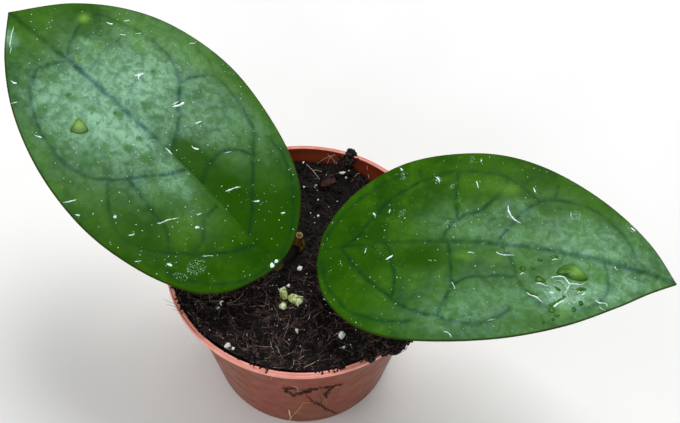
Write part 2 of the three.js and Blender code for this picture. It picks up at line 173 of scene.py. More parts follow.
# Painted glow of light under drops, and also a yellower green.
LEAF_LIME_AND_PAINTED_GLOW = srgb(128, 186, 70)
LEAF_EDGE = srgb(46, 56, 14)
LEAF_UNDER = srgb(104, 140, 70)
LEAF_UNDER_DARK = srgb(88, 124, 56)
LEAF_UNDER_VEIN = srgb(140, 168, 104)
POT_RED = srgb(130, 56, 34)
POT_OLIVE = srgb(120, 62, 34)
# Painted light on the rim band: its lit colour and its highlight.
POT_RIM_PAINTED_LIGHT = srgb(226, 146, 130)
POT_RIM_PAINTED_HIGHLIGHT = srgb(240, 168, 156)
POT_INSIDE = srgb(132, 52, 28)
WALL_DIRT = srgb(44, 20, 11)
WALL_DIRT_PALE = srgb(78, 42, 28)
SOIL_DARK = srgb(8, 6, 6)
SOIL_BROWN = srgb(22, 16, 15)
SOIL_SPECK = srgb(66, 47, 43)
FIBRE_DARK = srgb(30, 21, 22)
FIBRE_BROWN = srgb(138, 108, 104)
FIBRE_STRAW = srgb(168, 142, 128)
FIBRE_PALE = srgb(240, 222, 200)
ROOT_TAN = srgb(188, 132, 108)
ROOT_PALE = srgb(226, 186, 158)
BARK_DARK = srgb(34, 22, 18)
BARK_BROWN = srgb(46, 32, 28)
BARK_RED = srgb(98, 50, 34)
GRAIN_WHITE = srgb(255, 255, 252)
GRAIN_GREY = srgb(186, 190, 176)
STEM_BROWN = srgb(54, 36, 16)
STEM_OLIVE = srgb(104, 76, 30)
STEM_PALE = srgb(160, 134, 100)
PETIOLE_GREEN = srgb(58, 62, 24)
PETIOLE_OLIVE = srgb(74, 66, 34)
# Near-black of the browned stalk and of the painted shade under the blade.
PETIOLE_BROWN_AND_SHADE = srgb(16, 12, 9)
SHOOT_GREEN = srgb(112, 140, 36)
SHOOT_LIME = srgb(200, 220, 112)
# White of the tips and of the painted glints.
SHOOT_WHITE_AND_GLINT = srgb(255, 255, 240)
DROP_DARK = srgb(38, 84, 14)
DROP_GREEN = srgb(58, 108, 24)
# Painted glow of light gathered in a drop.
DROP_PAINTED_GLOW = srgb(132, 176, 82)
# A faint film, partly the painted sheen of wet film, and white, partly painted glints.
SPLASH_FILM_AND_SHEEN = srgb(112, 158, 122)
SPLASH_WHITE_AND_GLINT = srgb(232, 255, 250)


# Curves and noise


def spline(points, steps):
    """Catmull-Rom curve through the points: steps + 1 points, spread evenly over its knots."""
    knots = np.asarray(points, float)
    at = np.linspace(0, len(knots) - 1, steps + 1)
    k = np.minimum(at.astype(int), len(knots) - 2)
    t = (at - k)[:, None]
    before, start = knots[np.maximum(k - 1, 0)], knots[k]
    end, after = knots[k + 1], knots[np.minimum(k + 2, len(knots) - 1)]
    v0, v1 = (end - before) / 2, (after - start) / 2
    cubic = (2 * start - 2 * end + v0 + v1) * t**3
    return cubic + (3 * end - 3 * start - 2 * v0 - v1) * t**2 + v0 * t + start


def even_spline(points, steps):
    """The same curve, with its points spread evenly over its length."""
    fine = spline(points, 2000)
    run = np.concatenate([[0], np.cumsum(np.linalg.norm(np.diff(fine, axis=0), axis=1))])
    want = np.linspace(0, run[-1], steps + 1)
    return np.stack([np.interp(want, run, fine[:, k]) for k in range(fine.shape[1])], axis=1)


def distance_to(run, points, cap):
    """Distance from each point of the plane to a polyline, or cap where that is less."""
    near = np.flatnonzero(np.all((points > run.min(0) - cap) & (points < run.max(0) + cap), axis=1))
    here = points[near]
    best = np.full(len(near), float(cap) ** 2)
    for a, b in zip(run[:-1], run[1:]):
        side = b - a
        t = np.clip(((here - a) @ side) / max(side @ side, 1e-9), 0, 1)
        best = np.minimum(best, ((here - a - t[:, None] * side) ** 2).sum(1))
    gaps = np.full(len(points), float(cap))
    gaps[near] = np.sqrt(best)
    return gaps


def rough(points, size, octaves=1, shift=0.0):
    """Noise from about -1 to 1 at each point, with features about size wide."""
    moved = np.asarray(points, float) / size + shift
    if moved.shape[1] == 2:
        moved = np.column_stack([moved, np.full(len(moved), shift)])
    return np.array([noise.fractal(p, 1.0, 2.0, octaves) for p in moved.tolist()])


def smooth(low, high, value):
    t = np.clip((value - low) / (high - low), 0, 1)
    return t * t * (3 - 2 * t)


def bell(x):
    return np.exp(-(x**2))


def polar(r, angle):
    return r * np.cos(angle), r * np.sin(angle)


def unit(v):
    """Vectors made one long."""
    return v / np.linalg.norm(v, axis=-1, keepdims=True)


def left_of(ways):
    """Unit vectors in the plane that point to the left of each way."""
    return unit(np.column_stack([-ways[:, 1], ways[:, 0]]))


def patches(spots, p, q, edge=1):
    """Oval patches: p, q, half lengths along p and q, and strength. A higher edge makes them crisper."""
    total = np.zeros(np.shape(p))
    for sp, sq, long, wide, strength in spots:
        total += strength * np.exp(-((((p - sp) / long) ** 2 + ((q - sq) / wide) ** 2) ** edge))
    return total


# Meshes


def add_object(name, data):
    made = bpy.data.objects.new(name, data)
    bpy.context.scene.collection.objects.link(made)
    return made


def add_mesh(name, points, faces):
    """A mesh object, from points in millimetres."""
    mesh = bpy.data.meshes.new(name)
    mesh.from_pydata((np.asarray(points, float) * MM).tolist(), [], faces)
    return add_object(name, mesh)


def set_attribute(mesh, name, values):
    """Gives each point of a mesh a number or a vector."""
    kind, key = ("FLOAT_VECTOR", "vector") if np.ndim(values) == 2 else ("FLOAT", "value")
    data = mesh.attributes.new(name, kind, "POINT").data
    data.foreach_set(key, np.asarray(values, np.float32).ravel())


def make_piece(name, points, faces, finish, attributes, stands_for=()):
    """A visible piece of the object. Attributes holds values for each point, which its finish reads."""
    piece = add_mesh(name, points, faces)
    piece.data.update()
    piece.data.shade_smooth()
    for key, values in attributes.items():
        set_attribute(piece.data, key, values)
    piece.data.materials.append(finish)
    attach(piece, "root")
    if stands_for:
        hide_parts(*stands_for)
    return piece


class Bodies:
    """Many small closed bodies that make up one piece, each with its own tint."""

    def __init__(self):
        self.points = []
        self.faces = []
        self.tints = []
        self.count = 0

    def add(self, points, faces, tint=0.5):
        self.faces += [[k + self.count for k in face] for face in faces]
        self.points.append(points)
        self.tints.append(np.broadcast_to(tint, len(points)))
        self.count += len(points)

    def piece(self, name, finish, slot, stands_for=()):
        tints = {"tint": np.concatenate(self.tints)}
        make_piece(name, np.concatenate(self.points), self.faces, finish, tints, stands_for)


def grid_faces(index, flip=False):
    """Faces between the rows of a table of vertex numbers; a face with a repeated corner has three."""
    corners = [index[:-1, :-1], index[1:, :-1], index[1:, 1:], index[:-1, 1:]]
    quads = np.stack([c.ravel() for c in corners], axis=1).tolist()
    faces = [list(dict.fromkeys(quad)) for quad in quads]
    faces = [face for face in faces if len(face) > 2]
    return [face[::-1] for face in faces] if flip else faces


def ring_faces(rows, sides, flip=True):
    """Faces of a closed body: rings of vertices, then the two that close its first and last ring."""
    index = np.arange(rows * sides).reshape(rows, sides)
    first = np.full(sides + 1, rows * sides)
    return grid_faces(np.vstack([first, np.column_stack([index, index[:, 0]]), first + 1]), flip)


def round_angles(sides):
    return np.linspace(0, 2 * np.pi, sides, endpoint=False)


def tube(points, radii, sides):
    """A round closed body along points, with a radius at each."""
    path = np.asarray(points, float)
    radii = np.broadcast_to(radii, len(path))
    ahead = unit(np.gradient(path, axis=0))
    out = np.cross(ahead[0], [0.31, 0.47, 0.83])  # any way that isn't along the path
    angles = round_angles(sides)[:, None]
    rings = []
    for centre, way, radius in zip(path, ahead, radii):
        out = unit(out - (out @ way) * way)
        rings.append(centre + radius * (np.cos(angles) * out + np.sin(angles) * np.cross(way, out)))
    return np.concatenate([*rings, path[:1], path[-1:]]), ring_faces(len(path), sides)


def taper(steps, shares, sizes):
    """Relative sizes along a path of so many steps, given at some shares of its length."""
    return np.interp(np.linspace(0, 1, steps + 1), shares, sizes)


def strand(knots, steps, thick, shape, sides):
    """A tapered tube on a curve through knots; shape holds the taper's shares and sizes."""
    return tube(spline(knots, steps), thick * taper(steps, *shape), sides)


def ball(subdivisions):
    """A unit sphere of triangles: its points and faces."""
    shape = bmesh.new()
    bmesh.ops.create_icosphere(shape, subdivisions=subdivisions, radius=1)
    points = np.array([v.co for v in shape.verts])
    faces = [[v.index for v in f.verts] for f in shape.faces]
    shape.free()
    return points, faces


BALLS = {level: ball(level) for level in (1, 2, 3)}


def turn(angle, axis):
    return np.array(Matrix.Rotation(angle, 3, Vector(axis)))


def lump(random, centre, sizes, level, ruggedness, lean=None):
    """An irregular grain: a ball pushed in and out, stretched to sizes and turned."""
    points, faces = BALLS[level]
    swell = 1 + ruggedness * rough(points, 0.8, 2, random.uniform(0, 50))
    lean = random.uniform(-0.6, 0.6, 2) if lean is None else lean
    spin = turn(random.uniform(0, 2 * np.pi), (0, 0, 1)) @ turn(lean[0], (1, 0, 0)) @ turn(lean[1], (0, 1, 0))
    return (points * swell[:, None] * sizes) @ spin.T + centre, faces


# Finishes


class Finish:
    """A node material, put together by plain calls. A value is a number, a colour or a node's output."""

    def __init__(self, name, settings):
        self.material = bpy.data.materials.new(name)
        self.material.use_nodes = True
        self.nodes = self.material.node_tree.nodes
        self.skin = self.nodes["Principled BSDF"].inputs
        for socket, value in settings.items():
            self.skin[socket].default_value = value
        where = self.nodes.new("ShaderNodeTexCoord").outputs["Object"]
        self.place = self.node("ShaderNodeVectorMath", {"operation": "SCALE"}, {0: where, "Scale": 1 / MM})

    def feed(self, socket, value):
        if isinstance(value, bpy.types.NodeSocket):
            self.material.node_tree.links.new(value, socket)
        elif socket.type == "RGBA":
            socket.default_value = (*value, 1)
        else:
            socket.default_value = value

    def node(self, kind, settings, inputs, output=0):
        made = self.nodes.new(kind)
        for key, value in settings.items():
            setattr(made, key, value)
        for key, value in inputs.items():
            self.feed(made.inputs[key], value)
        return made.outputs[output]

    def attribute(self, name, output="Fac"):
        return self.node("ShaderNodeAttribute", {"attribute_name": name}, {}, output)

    def times(self, a, b):
        return self.node("ShaderNodeMath", {"operation": "MULTIPLY"}, {0: a, 1: b})

    def plus(self, a, b):
        return self.node("ShaderNodeMath", {"operation": "ADD"}, {0: a, 1: b})

    def mix(self, share, a, b):
        return self.node("ShaderNodeMix", {"data_type": "RGBA"}, {0: share, 6: a, 7: b}, 2)

    def noise(self, size, detail, squeeze=None, distortion=0.0):
        """Noise with features about size millimetres wide, drawn out along an axis with a small squeeze."""
        where = self.place
        if squeeze:
            where = self.node("ShaderNodeVectorMath", {"operation": "MULTIPLY"}, {0: where, 1: squeeze})
        inputs = {"Vector": where, "Scale": 1 / size, "Detail": detail, "Distortion": distortion}
        return self.node("ShaderNodeTexNoise", {}, inputs)

    def cell_edges(self, size):
        """Distance to the nearest edge in a pattern of cells about size millimetres wide."""
        inputs = {"Vector": self.place, "Scale": 1 / size}
        return self.node("ShaderNodeTexVoronoi", {"feature": "DISTANCE_TO_EDGE"}, inputs)

    def ramp(self, value, low, high, start=0.0, end=1.0):
        """A smooth step from start, up to the value low, to end, from the value high on."""
        inputs = {"Value": value, "From Min": low, "From Max": high, "To Min": start, "To Max": end}
        return self.node("ShaderNodeMapRange", {"interpolation_type": "SMOOTHSTEP"}, inputs)

    def spread(self, size, detail, low, high, start=0.0, end=1.0):
        """The same step over plain noise."""
        return self.ramp(self.noise(size, detail), low, high, start, end)

    def bump(self, height, tall, before=None):
        """Fine relief, tall millimetres high, over the relief before it."""
        inputs = {"Strength": 1.0, "Distance": tall * MM, "Height": height}
        if before is not None:
            inputs["Normal"] = before
        return self.node("ShaderNodeBump", {}, inputs)

    def done(self, colour, roughness=None, normal=None):
        for socket, value in (("Base Color", colour), ("Roughness", roughness), ("Normal", normal)):
            if value is not None:
                self.feed(self.skin[socket], value)
        return self.material


def leaf_finish():
    """Waxy cuticle: dark green with dark veins and a brown edge line, under a painted sheen that is hazy and
    mottled in pale cells, and painted shade where the blade lies in shade.
    """
    f = Finish("waxy leaf with painted sheen", {"Specular IOR Level": 0.02})
    f.place = f.attribute("leaf_place", "Vector")
    green = f.mix(f.spread(13, 3, 0.35, 0.65), LEAF_DEEP_AND_SHADE, LEAF_GREEN)
    green = f.mix(f.spread(4, 3, 0.45, 0.75, 0, 0.5), green, LEAF_FRESH)
    # Painted shade, on the fold's far half and where the blade lies in shade.
    green = f.mix(f.times(f.attribute("deep"), 0.75), green, LEAF_DEEP_AND_SHADE)
    # Painted sheen: the pale attribute, mottled, with hazy flecks inside it.
    sheen_cloud = f.ramp(f.noise(2.9, 3, None, 0.7), 0.35, 0.65, 0.55, 1.12)
    pale = f.times(f.attribute("pale"), sheen_cloud)
    green = f.mix(pale, green, LEAF_PAINTED_SHEEN)
    sheen_fleck = f.spread(0.9, 3, 0.42, 0.7, 0, 0.28)
    green = f.mix(f.times(sheen_fleck, f.ramp(pale, 0.1, 0.6)), green, LEAF_PAINTED_HAZE)
    # Spots and blotches of plainer green that break up the painted sheen.
    sheen_gap = f.spread(1.9, 1, 0.6, 0.68, 0, 0.6)
    spot = f.plus(f.attribute("spot"), f.times(pale, sheen_gap))
    green = f.mix(spot, green, LEAF_SPOT)
    net = f.ramp(f.cell_edges(7), 0.0, 0.1, 0.16, 0)
    # Veins take on the painted sheen's haze.
    vein_green = f.mix(f.ramp(pale, 0, 0.7), LEAF_VEIN, LEAF_VEIN_UNDER_SHEEN)
    green = f.mix(net, green, vein_green)
    uneven = f.spread(3, 3, 0.3, 0.7, 0.5, 0.95)
    green = f.mix(f.times(f.attribute("vein"), uneven), green, vein_green)
    # Painted glow of light gathered under drops, and yellower green in broad patches.
    green = f.mix(f.attribute("glow"), green, LEAF_LIME_AND_PAINTED_GLOW)
    # A fine painted haze, only inside the painted sheen.
    sheen_stipple = f.spread(0.5, 2, 0.6, 0.75, 0, 0.14)
    green = f.mix(f.times(sheen_stipple, f.ramp(pale, 0.02, 0.35)), green, LEAF_PAINTED_HAZE)
    line = f.ramp(f.attribute("edge_gap"), 0.05, 0.45, 0.8, 0)
    green = f.mix(line, green, LEAF_EDGE)
    under = f.attribute("underside")
    matt = f.mix(f.spread(9, 4, 0.3, 0.7), LEAF_UNDER, LEAF_UNDER_DARK)
    matt = f.mix(f.times(f.attribute("vein"), 0.45), matt, LEAF_UNDER_VEIN)
    roughness = f.plus(f.spread(5, 4, 0.3, 0.7, 0.28, 0.36), f.times(under, 0.2))
    fine = f.bump(f.noise(0.7, 3), 0.03)
    return f.done(f.mix(under, green, matt), roughness, f.bump(f.noise(2.6, 2), 0.09, fine))


def pot_finish():
    """Moulded plastic: brown terracotta with faint flow marks, and the rim band painted pinker and lighter,
    as the lit top of the lip.
    """
    f = Finish("terracotta plastic with painted rim light", {"Specular IOR Level": 0.15})
    flow = f.noise(9, 4, (1, 1, 0.5), 0.4)
    wall = f.mix(f.ramp(flow, 0.35, 0.65), POT_RED, POT_OLIVE)
    # Painted light on the rim band.
    rim = f.mix(f.spread(3, 4, 0.3, 0.7), POT_RIM_PAINTED_LIGHT, POT_RIM_PAINTED_HIGHLIGHT)
    colour = f.mix(f.attribute("inside"), f.mix(f.attribute("rim"), wall, rim), POT_INSIDE)
    colour = f.mix(f.spread(0.8, 2, 0.66, 0.76, 0, 0.4), colour, POT_RED)
    dirt = f.attribute("dirt")
    grime = f.ramp(f.plus(f.noise(2.2, 4), f.times(dirt, 0.55)), 0.6, 0.9)
    colour = f.mix(f.times(grime, f.ramp(dirt, 0.02, 0.3)), colour, WALL_DIRT)
    normal = f.bump(f.noise(0.9, 3), 0.03, f.bump(f.noise(6, 2, (1, 1, 0.4)), 0.1))
    return f.done(colour, f.spread(5, 4, 0.3, 0.7, 0.34, 0.48), normal)


def soil_finish(name, dark, light, speck):
    """Matt and crumbly, with a third colour in specks and where the tint is high."""
    f = Finish(name, {"Specular IOR Level": 0.18})
    colour = f.mix(f.spread(3.5, 4, 0.35, 0.7), dark, light)
    colour = f.mix(f.ramp(f.attribute("tint"), 0.2, 1.0), colour, speck)
    colour = f.mix(f.spread(0.5, 3, 0.62, 0.75, 0, 0.6), colour, speck)
    return f.done(colour, f.spread(1.5, 3, 0.3, 0.7, 0.7, 0.95), f.bump(f.noise(0.6, 4), 0.25))


def strand_finish(name, dark, brown, straw, pale):
    """Coir and root threads, in four tints."""
    f = Finish(name, {"Specular IOR Level": 0.25})
    tint = f.attribute("tint")
    colour = f.mix(f.ramp(tint, 0.0, 0.6), dark, brown)
    colour = f.mix(f.ramp(tint, 0.55, 0.85), colour, straw)
    colour = f.mix(f.ramp(tint, 0.85, 1.0), colour, pale)
    colour = f.mix(f.spread(1.2, 3, 0.4, 0.7, 0, 0.4), colour, dark)
    return f.done(colour, f.spread(2, 2, 0.3, 0.7, 0.55, 0.8), f.bump(f.noise(0.3, 2), 0.05))


def bark_finish():
    """Dark chips with a coarse grain, redder where the tint is high."""
    f = Finish("bark chip", {"Specular IOR Level": 0.2})
    grain = f.noise(1.6, 5, (1, 0.4, 1.6), 0.8)
    light = f.mix(f.attribute("tint"), BARK_BROWN, BARK_RED)
    colour = f.mix(f.ramp(grain, 0.35, 0.65), BARK_DARK, light)
    return f.done(colour, f.ramp(grain, 0.3, 0.7, 0.65, 0.9), f.bump(grain, 0.3))


def grain_finish():
    """White volcanic grains with fine pores and a little soil on them."""
    soft = {"Specular IOR Level": 0.3, "Subsurface Weight": 0.1, "Subsurface Radius": (MM, MM, MM)}
    f = Finish("white grain", soft)
    pores = f.spread(0.45, 3, 0.15, 0.42)
    colour = f.mix(pores, GRAIN_GREY, GRAIN_WHITE)
    colour = f.mix(f.spread(1.3, 4, 0.62, 0.8, 0, 0.7), colour, BARK_DARK)
    colour = f.mix(f.ramp(f.attribute("tint"), 0.0, 1.0, 0.75, 0), colour, GRAIN_GREY)
    return f.done(colour, f.ramp(pores, 0, 1, 0.85, 0.6), f.bump(f.noise(0.4, 3), 0.12))


def stem_finish():
    """Dry bark: brown, olive where it is younger, with fine cracks along it."""
    f = Finish("woody stem", {"Specular IOR Level": 0.1})
    along = f.noise(1.1, 4, (1.6, 1.6, 0.35), 0.5)
    colour = f.mix(f.ramp(along, 0.35, 0.65), STEM_BROWN, STEM_OLIVE)
    colour = f.mix(f.spread(0.7, 3, 0.6, 0.75, 0, 0.6), colour, STEM_PALE)
    colour = f.mix(f.ramp(f.attribute("tint"), 0.5, 1.0), colour, STEM_PALE)
    return f.done(colour, f.ramp(along, 0.3, 0.7, 0.6, 0.85), f.bump(along, 0.25))


def petiole_finish():
    """Leaf stalk: dull green by the blade, with corky specks, browned and painted near-black towards the stem
    as the shade under the blade.
    """
    f = Finish("leaf stalk with painted shade", {"Specular IOR Level": 0.06})
    along = f.noise(1.5, 4, (1.4, 0.5, 1), 0.6)
    colour = f.mix(f.ramp(along, 0.35, 0.65), PETIOLE_GREEN, PETIOLE_OLIVE)
    # Browned, and painted near-black as shade, towards the stem.
    brown = f.plus(f.attribute("tint"), f.spread(0.5, 3, 0.55, 0.72, 0, 0.6))
    colour = f.mix(f.ramp(brown, 0.2, 0.9), colour, PETIOLE_BROWN_AND_SHADE)
    return f.done(colour, f.ramp(along, 0.3, 0.7, 0.5, 0.7), f.bump(f.noise(0.8, 3), 0.12))


def shoot_finish():
    """Tender growth, pale lime with whitish tips, and painted glints of light as on wet buds."""
    soft = {"Specular IOR Level": 0.45, "Subsurface Weight": 0.25, "Subsurface Radius": (MM, MM, 0.4 * MM)}
    f = Finish("young growth with painted glint", soft)
    vein = f.noise(0.9, 3, (1, 1, 0.5), 0.4)
    colour = f.mix(f.ramp(vein, 0.35, 0.65), SHOOT_GREEN, SHOOT_LIME)
    # Painted glints in white blotches, then the whitish tips.
    colour = f.mix(f.spread(1.1, 2, 0.5, 0.65, 0, 0.6), colour, SHOOT_WHITE_AND_GLINT)
    colour = f.mix(f.attribute("tint"), colour, SHOOT_WHITE_AND_GLINT)
    return f.done(colour, f.ramp(vein, 0.3, 0.7, 0.4, 0.55), f.bump(vein, 0.12))


def water_finish():
    """Drops that lie on the cuticle, glassy smooth, painted in the green of the leaf seen through them, with
    a painted glow where light gathers in them.
    """
    f = Finish("water drop with painted glow", {"Roughness": 0.1, "IOR": 1.33, "Specular IOR Level": 0.2})
    colour = f.mix(f.spread(2.5, 1, 0.35, 0.65), DROP_DARK, DROP_GREEN)
    # Painted glow of light gathered in the drop, where the tint is high.
    return f.done(f.mix(f.attribute("tint"), colour, DROP_PAINTED_GLOW))


def residue_and_glint_finish():
    """Dried splash marks on the cuticle, from a faint film to white; the white stands partly for painted
    glints, the faint film partly for the painted sheen of wet film.
    """
    f = Finish("dried splash and glint", {"Specular IOR Level": 0.3, "Coat Weight": 0.2, "Coat Roughness": 0.12})
    share = f.times(f.attribute("tint"), f.spread(0.5, 3, 0.3, 0.65, 0.85, 1.15))
    # From faint film, partly painted sheen, to white, partly painted glints.
    colour = f.mix(share, SPLASH_FILM_AND_SHEEN, SPLASH_WHITE_AND_GLINT)
    return f.done(colour, f.ramp(share, 0, 1, 0.25, 0.45), f.bump(f.noise(0.3, 2), 0.03))


# Leaves


class Leaf:
    """A blade over a flat chord plane through its base. p runs from base to tip, q to the left seen from
    above, and the surface stands off that plane by a height."""

    def __init__(self, **facts):
        for key, value in facts.items():
            setattr(self, key, value)
        a, t, b = (math.radians(x) for x in (self.azimuth, self.pitch, self.bank))
        along = np.array([math.cos(a) * math.cos(t), math.sin(a) * math.cos(t), math.sin(t)])
        level = np.array([-math.sin(a), math.cos(a), 0])
        across = math.cos(b) * level + math.sin(b) * np.cross(along, level)
        self.axes = np.array([along, across, np.cross(along, across)])
        self.length = self.left[-1][0]
        self.vein_runs = [spline(vein, 4 * len(vein)) for vein in self.veins]
        self.faint_runs = [spline(vein, 4 * len(vein)) for vein in self.faint_veins]
        self.outlines = [even_spline(side, BLADE_ROWS) for side in (self.left, self.right)]

    def place(self, p, q, h):
        return np.array(self.base) + np.column_stack([p, q, h]) @ self.axes

    def midrib(self, p):
        u = p / self.length
        return self.bend * 4 * u * (1 - u)

    def lie(self, p, q):
        """Height of the smooth blade, without its relief."""
        u = p / self.length
        off = q - self.midrib(p)
        edge = np.minimum(np.abs(off) / HALF_WIDTH, 1.3)
        fold = FOLD * (np.hypot(off, FOLD_SOFT) - FOLD_SOFT)
        return self.arch * 4 * u * (1 - u) + fold - ROLL * edge**5

    def gaps(self, p, q):
        """Distances to the nearest net vein, which wanders a little, the midrib and the margin."""
        points = np.column_stack([p, q])
        stray = [0.5 * rough(points, 5.5, 2, self.seed + shift) for shift in (20, 40)]
        strayed = points + np.column_stack(stray)
        clear = [distance_to(run, strayed, VEIN_CAP) for run in self.vein_runs]
        faint = [distance_to(run, strayed, VEIN_CAP) + FAINT for run in self.faint_runs]
        vein = np.min(clear + faint, axis=0)
        margin = np.min([distance_to(side, points, MARGIN_CAP) for side in self.outlines], axis=0)
        return vein, np.abs(q - self.midrib(p)), margin

    def surface(self, p, q, gaps=None):
        """Height of the upper face: quilted between sunken veins, and faintly wavy."""
        vein, rib, margin = gaps or self.gaps(p, q)
        dip = QUILT * bell(np.minimum(vein, rib) / QUILT_REACH)
        groove = VEIN_CUT * bell(vein / VEIN_HALF)
        crease = RIB_CUT * bell(rib / RIB_HALF) * (1 - 0.6 * p / self.length)
        points = np.column_stack([p, q])
        wave = 0.3 * rough(points, 17, 1, self.seed) + 0.07 * rough(points, 5, 1, self.seed)
        fade = 1 - bell(margin / RELIEF_REACH)
        return self.lie(p, q) + (wave - dip - np.maximum(groove, crease)) * fade


def blade_table(leaf):
    """Places of the upper face, in rows from one margin to the other, and the table of their numbers."""
    side = np.arange(-BLADE_COLUMNS, BLADE_COLUMNS + 1)
    rib_p = leaf.length * np.arange(BLADE_ROWS + 1) / BLADE_ROWS
    rib = np.column_stack([rib_p, leaf.midrib(rib_p)])[:, None, :]
    left, right = leaf.outlines
    margin = np.where((side >= 0)[None, :, None], left[:, None], right[:, None])
    table = rib + (margin - rib) * (np.abs(side) / BLADE_COLUMNS)[None, :, None]
    points = np.concatenate([table[1:-1].reshape(-1, 2), table[0, :1], table[-1, :1]])
    index = np.arange(len(points) - 2).reshape(-1, len(side))
    base = np.full(len(side), index.size)
    return points, np.vstack([base, index, base + 1])


def blade_thickness(leaf, p, gaps):
    """Thin at the margin, thicker inside, with a keel under the midrib and ridges under the veins."""
    vein, rib, margin = gaps
    keel = KEEL_TALL * (1 - p / leaf.length) * bell(rib / KEEL_WIDTH)
    ridge = RIDGE_TALL * bell(np.minimum(vein, rib) / RIDGE_WIDTH)
    return EDGE_THICK + (BLADE_THICK - EDGE_THICK + keel + ridge) * (1 - bell(margin / EDGE_REACH))


def blade_tones(leaf, p, q, gaps):
    """Where the finish shows veins, painted sheen, painted shade, spots, and glow: painted light under drops
    and a yellower green.
    """
    vein, rib, margin = gaps
    fade = 0.75 + 0.25 * smooth(1, 14, margin)
    net = 0.85 * bell(vein / 0.62) + 0.22 * bell(vein / 2)
    main = bell(rib / 0.85) + 0.25 * bell(rib / 2)
    below = smooth(0.4, -0.4, q - leaf.midrib(p))
    # Painted shade on the fold's far half below the midrib and in shaded places, and the painted sheen.
    fold = np.clip(patches(leaf.deep, p, q, 2), 0, 1) * below
    shade = np.clip(patches(leaf.shade, p, q), 0, 1)
    sheen = patches(leaf.sheen, p, q) + patches(leaf.pale, p, q, 2)
    rib_tone = np.interp(p, *np.array(leaf.rib_tone).T)
    return {
        "vein": np.clip(np.maximum(net * fade, main * rib_tone), 0, 1),
        # The pale key carries the painted sheen, dimmed by the painted shade; the next key carries the
        # painted shade.
        "pale": np.clip(sheen * (1 - 0.9 * fold) * (1 - 0.8 * shade), 0, 1.1),
        "deep": np.clip(fold + shade, 0, 1),
        "spot": np.clip(patches(leaf.spots, p, q, 2), 0, 1),
        "glow": np.clip(patches(leaf.glow, p, q), 0, 0.8),
    }


def blade(leaf, name, finish):
    """The blade as one closed mesh: upper face, lower face at half its columns, and a rounded margin."""
    points, index = blade_table(leaf)
    p, q = points.T
    gaps = leaf.gaps(p, q)
    top = leaf.surface(p, q, gaps)
    low = leaf.lie(p, q) - blade_thickness(leaf, p, gaps)
    used, under = np.unique(index[:, ::2], return_inverse=True)
    under = under.reshape(len(index), -1) + len(points)

    ring_top = np.concatenate([index[:-1, -1], index[:0:-1, 0]])
    ring_low = np.concatenate([under[:-1, -1], under[:0:-1, 0]])
    ring = points[ring_top]
    rim = ring + EDGE_BULGE * left_of(np.roll(ring, -1, axis=0) - np.roll(ring, 1, axis=0))
    ring_mid = np.arange(len(ring)) + len(points) + len(used)
    vertices = np.concatenate([
        leaf.place(p, q, top),
        leaf.place(p[used], q[used], low[used]),
        leaf.place(*rim.T, (top[ring_top] + low[ring_top]) / 2),
    ])
    faces = grid_faces(index) + grid_faces(under, flip=True)
    for upper, lower in ((ring_top, ring_mid), (ring_mid, ring_low)):
        faces += np.column_stack([upper, np.roll(upper, -1), np.roll(lower, -1), lower]).tolist()

    def spread(values):
        return np.concatenate([values, values[used], values[ring_top]])

    attributes = {key: spread(tone) for key, tone in blade_tones(leaf, p, q, gaps).items()}
    attributes["leaf_place"] = np.column_stack([spread(p), spread(q), np.full(len(vertices), leaf.seed)])
    attributes["edge_gap"] = np.concatenate([gaps[2], gaps[2][used], np.zeros(len(ring))])
    attributes["underside"] = np.repeat([0.0, 1.0, 0.0], [len(points), len(used), len(ring)])
    make_piece(name, vertices, faces, finish, attributes, [name])


def petiole(leaf, stalk, name, node, finish):
    """The leaf's stalk, from inside the blade's base down to its stem's node."""
    p, q, below = np.array(stalk["blade"], float).T
    inside = leaf.place(p, q, leaf.lie(p, q) - below)
    path = np.concatenate([inside, np.array(stalk["free"] + [stalk["node"]], float)])
    vertices, faces = strand(path, STALK_STEPS, stalk["radius"], STALK_TAPER, STALK_SIDES)
    vertices = vertices + 0.09 * rough(vertices, 2.4, 3)[:, None]
    along = np.append(np.repeat(np.linspace(0, 1, STALK_STEPS + 1), STALK_SIDES), [0, 1])
    # The tint marks the half towards the stem, browned and in painted shade.
    make_piece(name, vertices, faces, finish, {"tint": smooth(0.34, 0.5, along)}, [node])


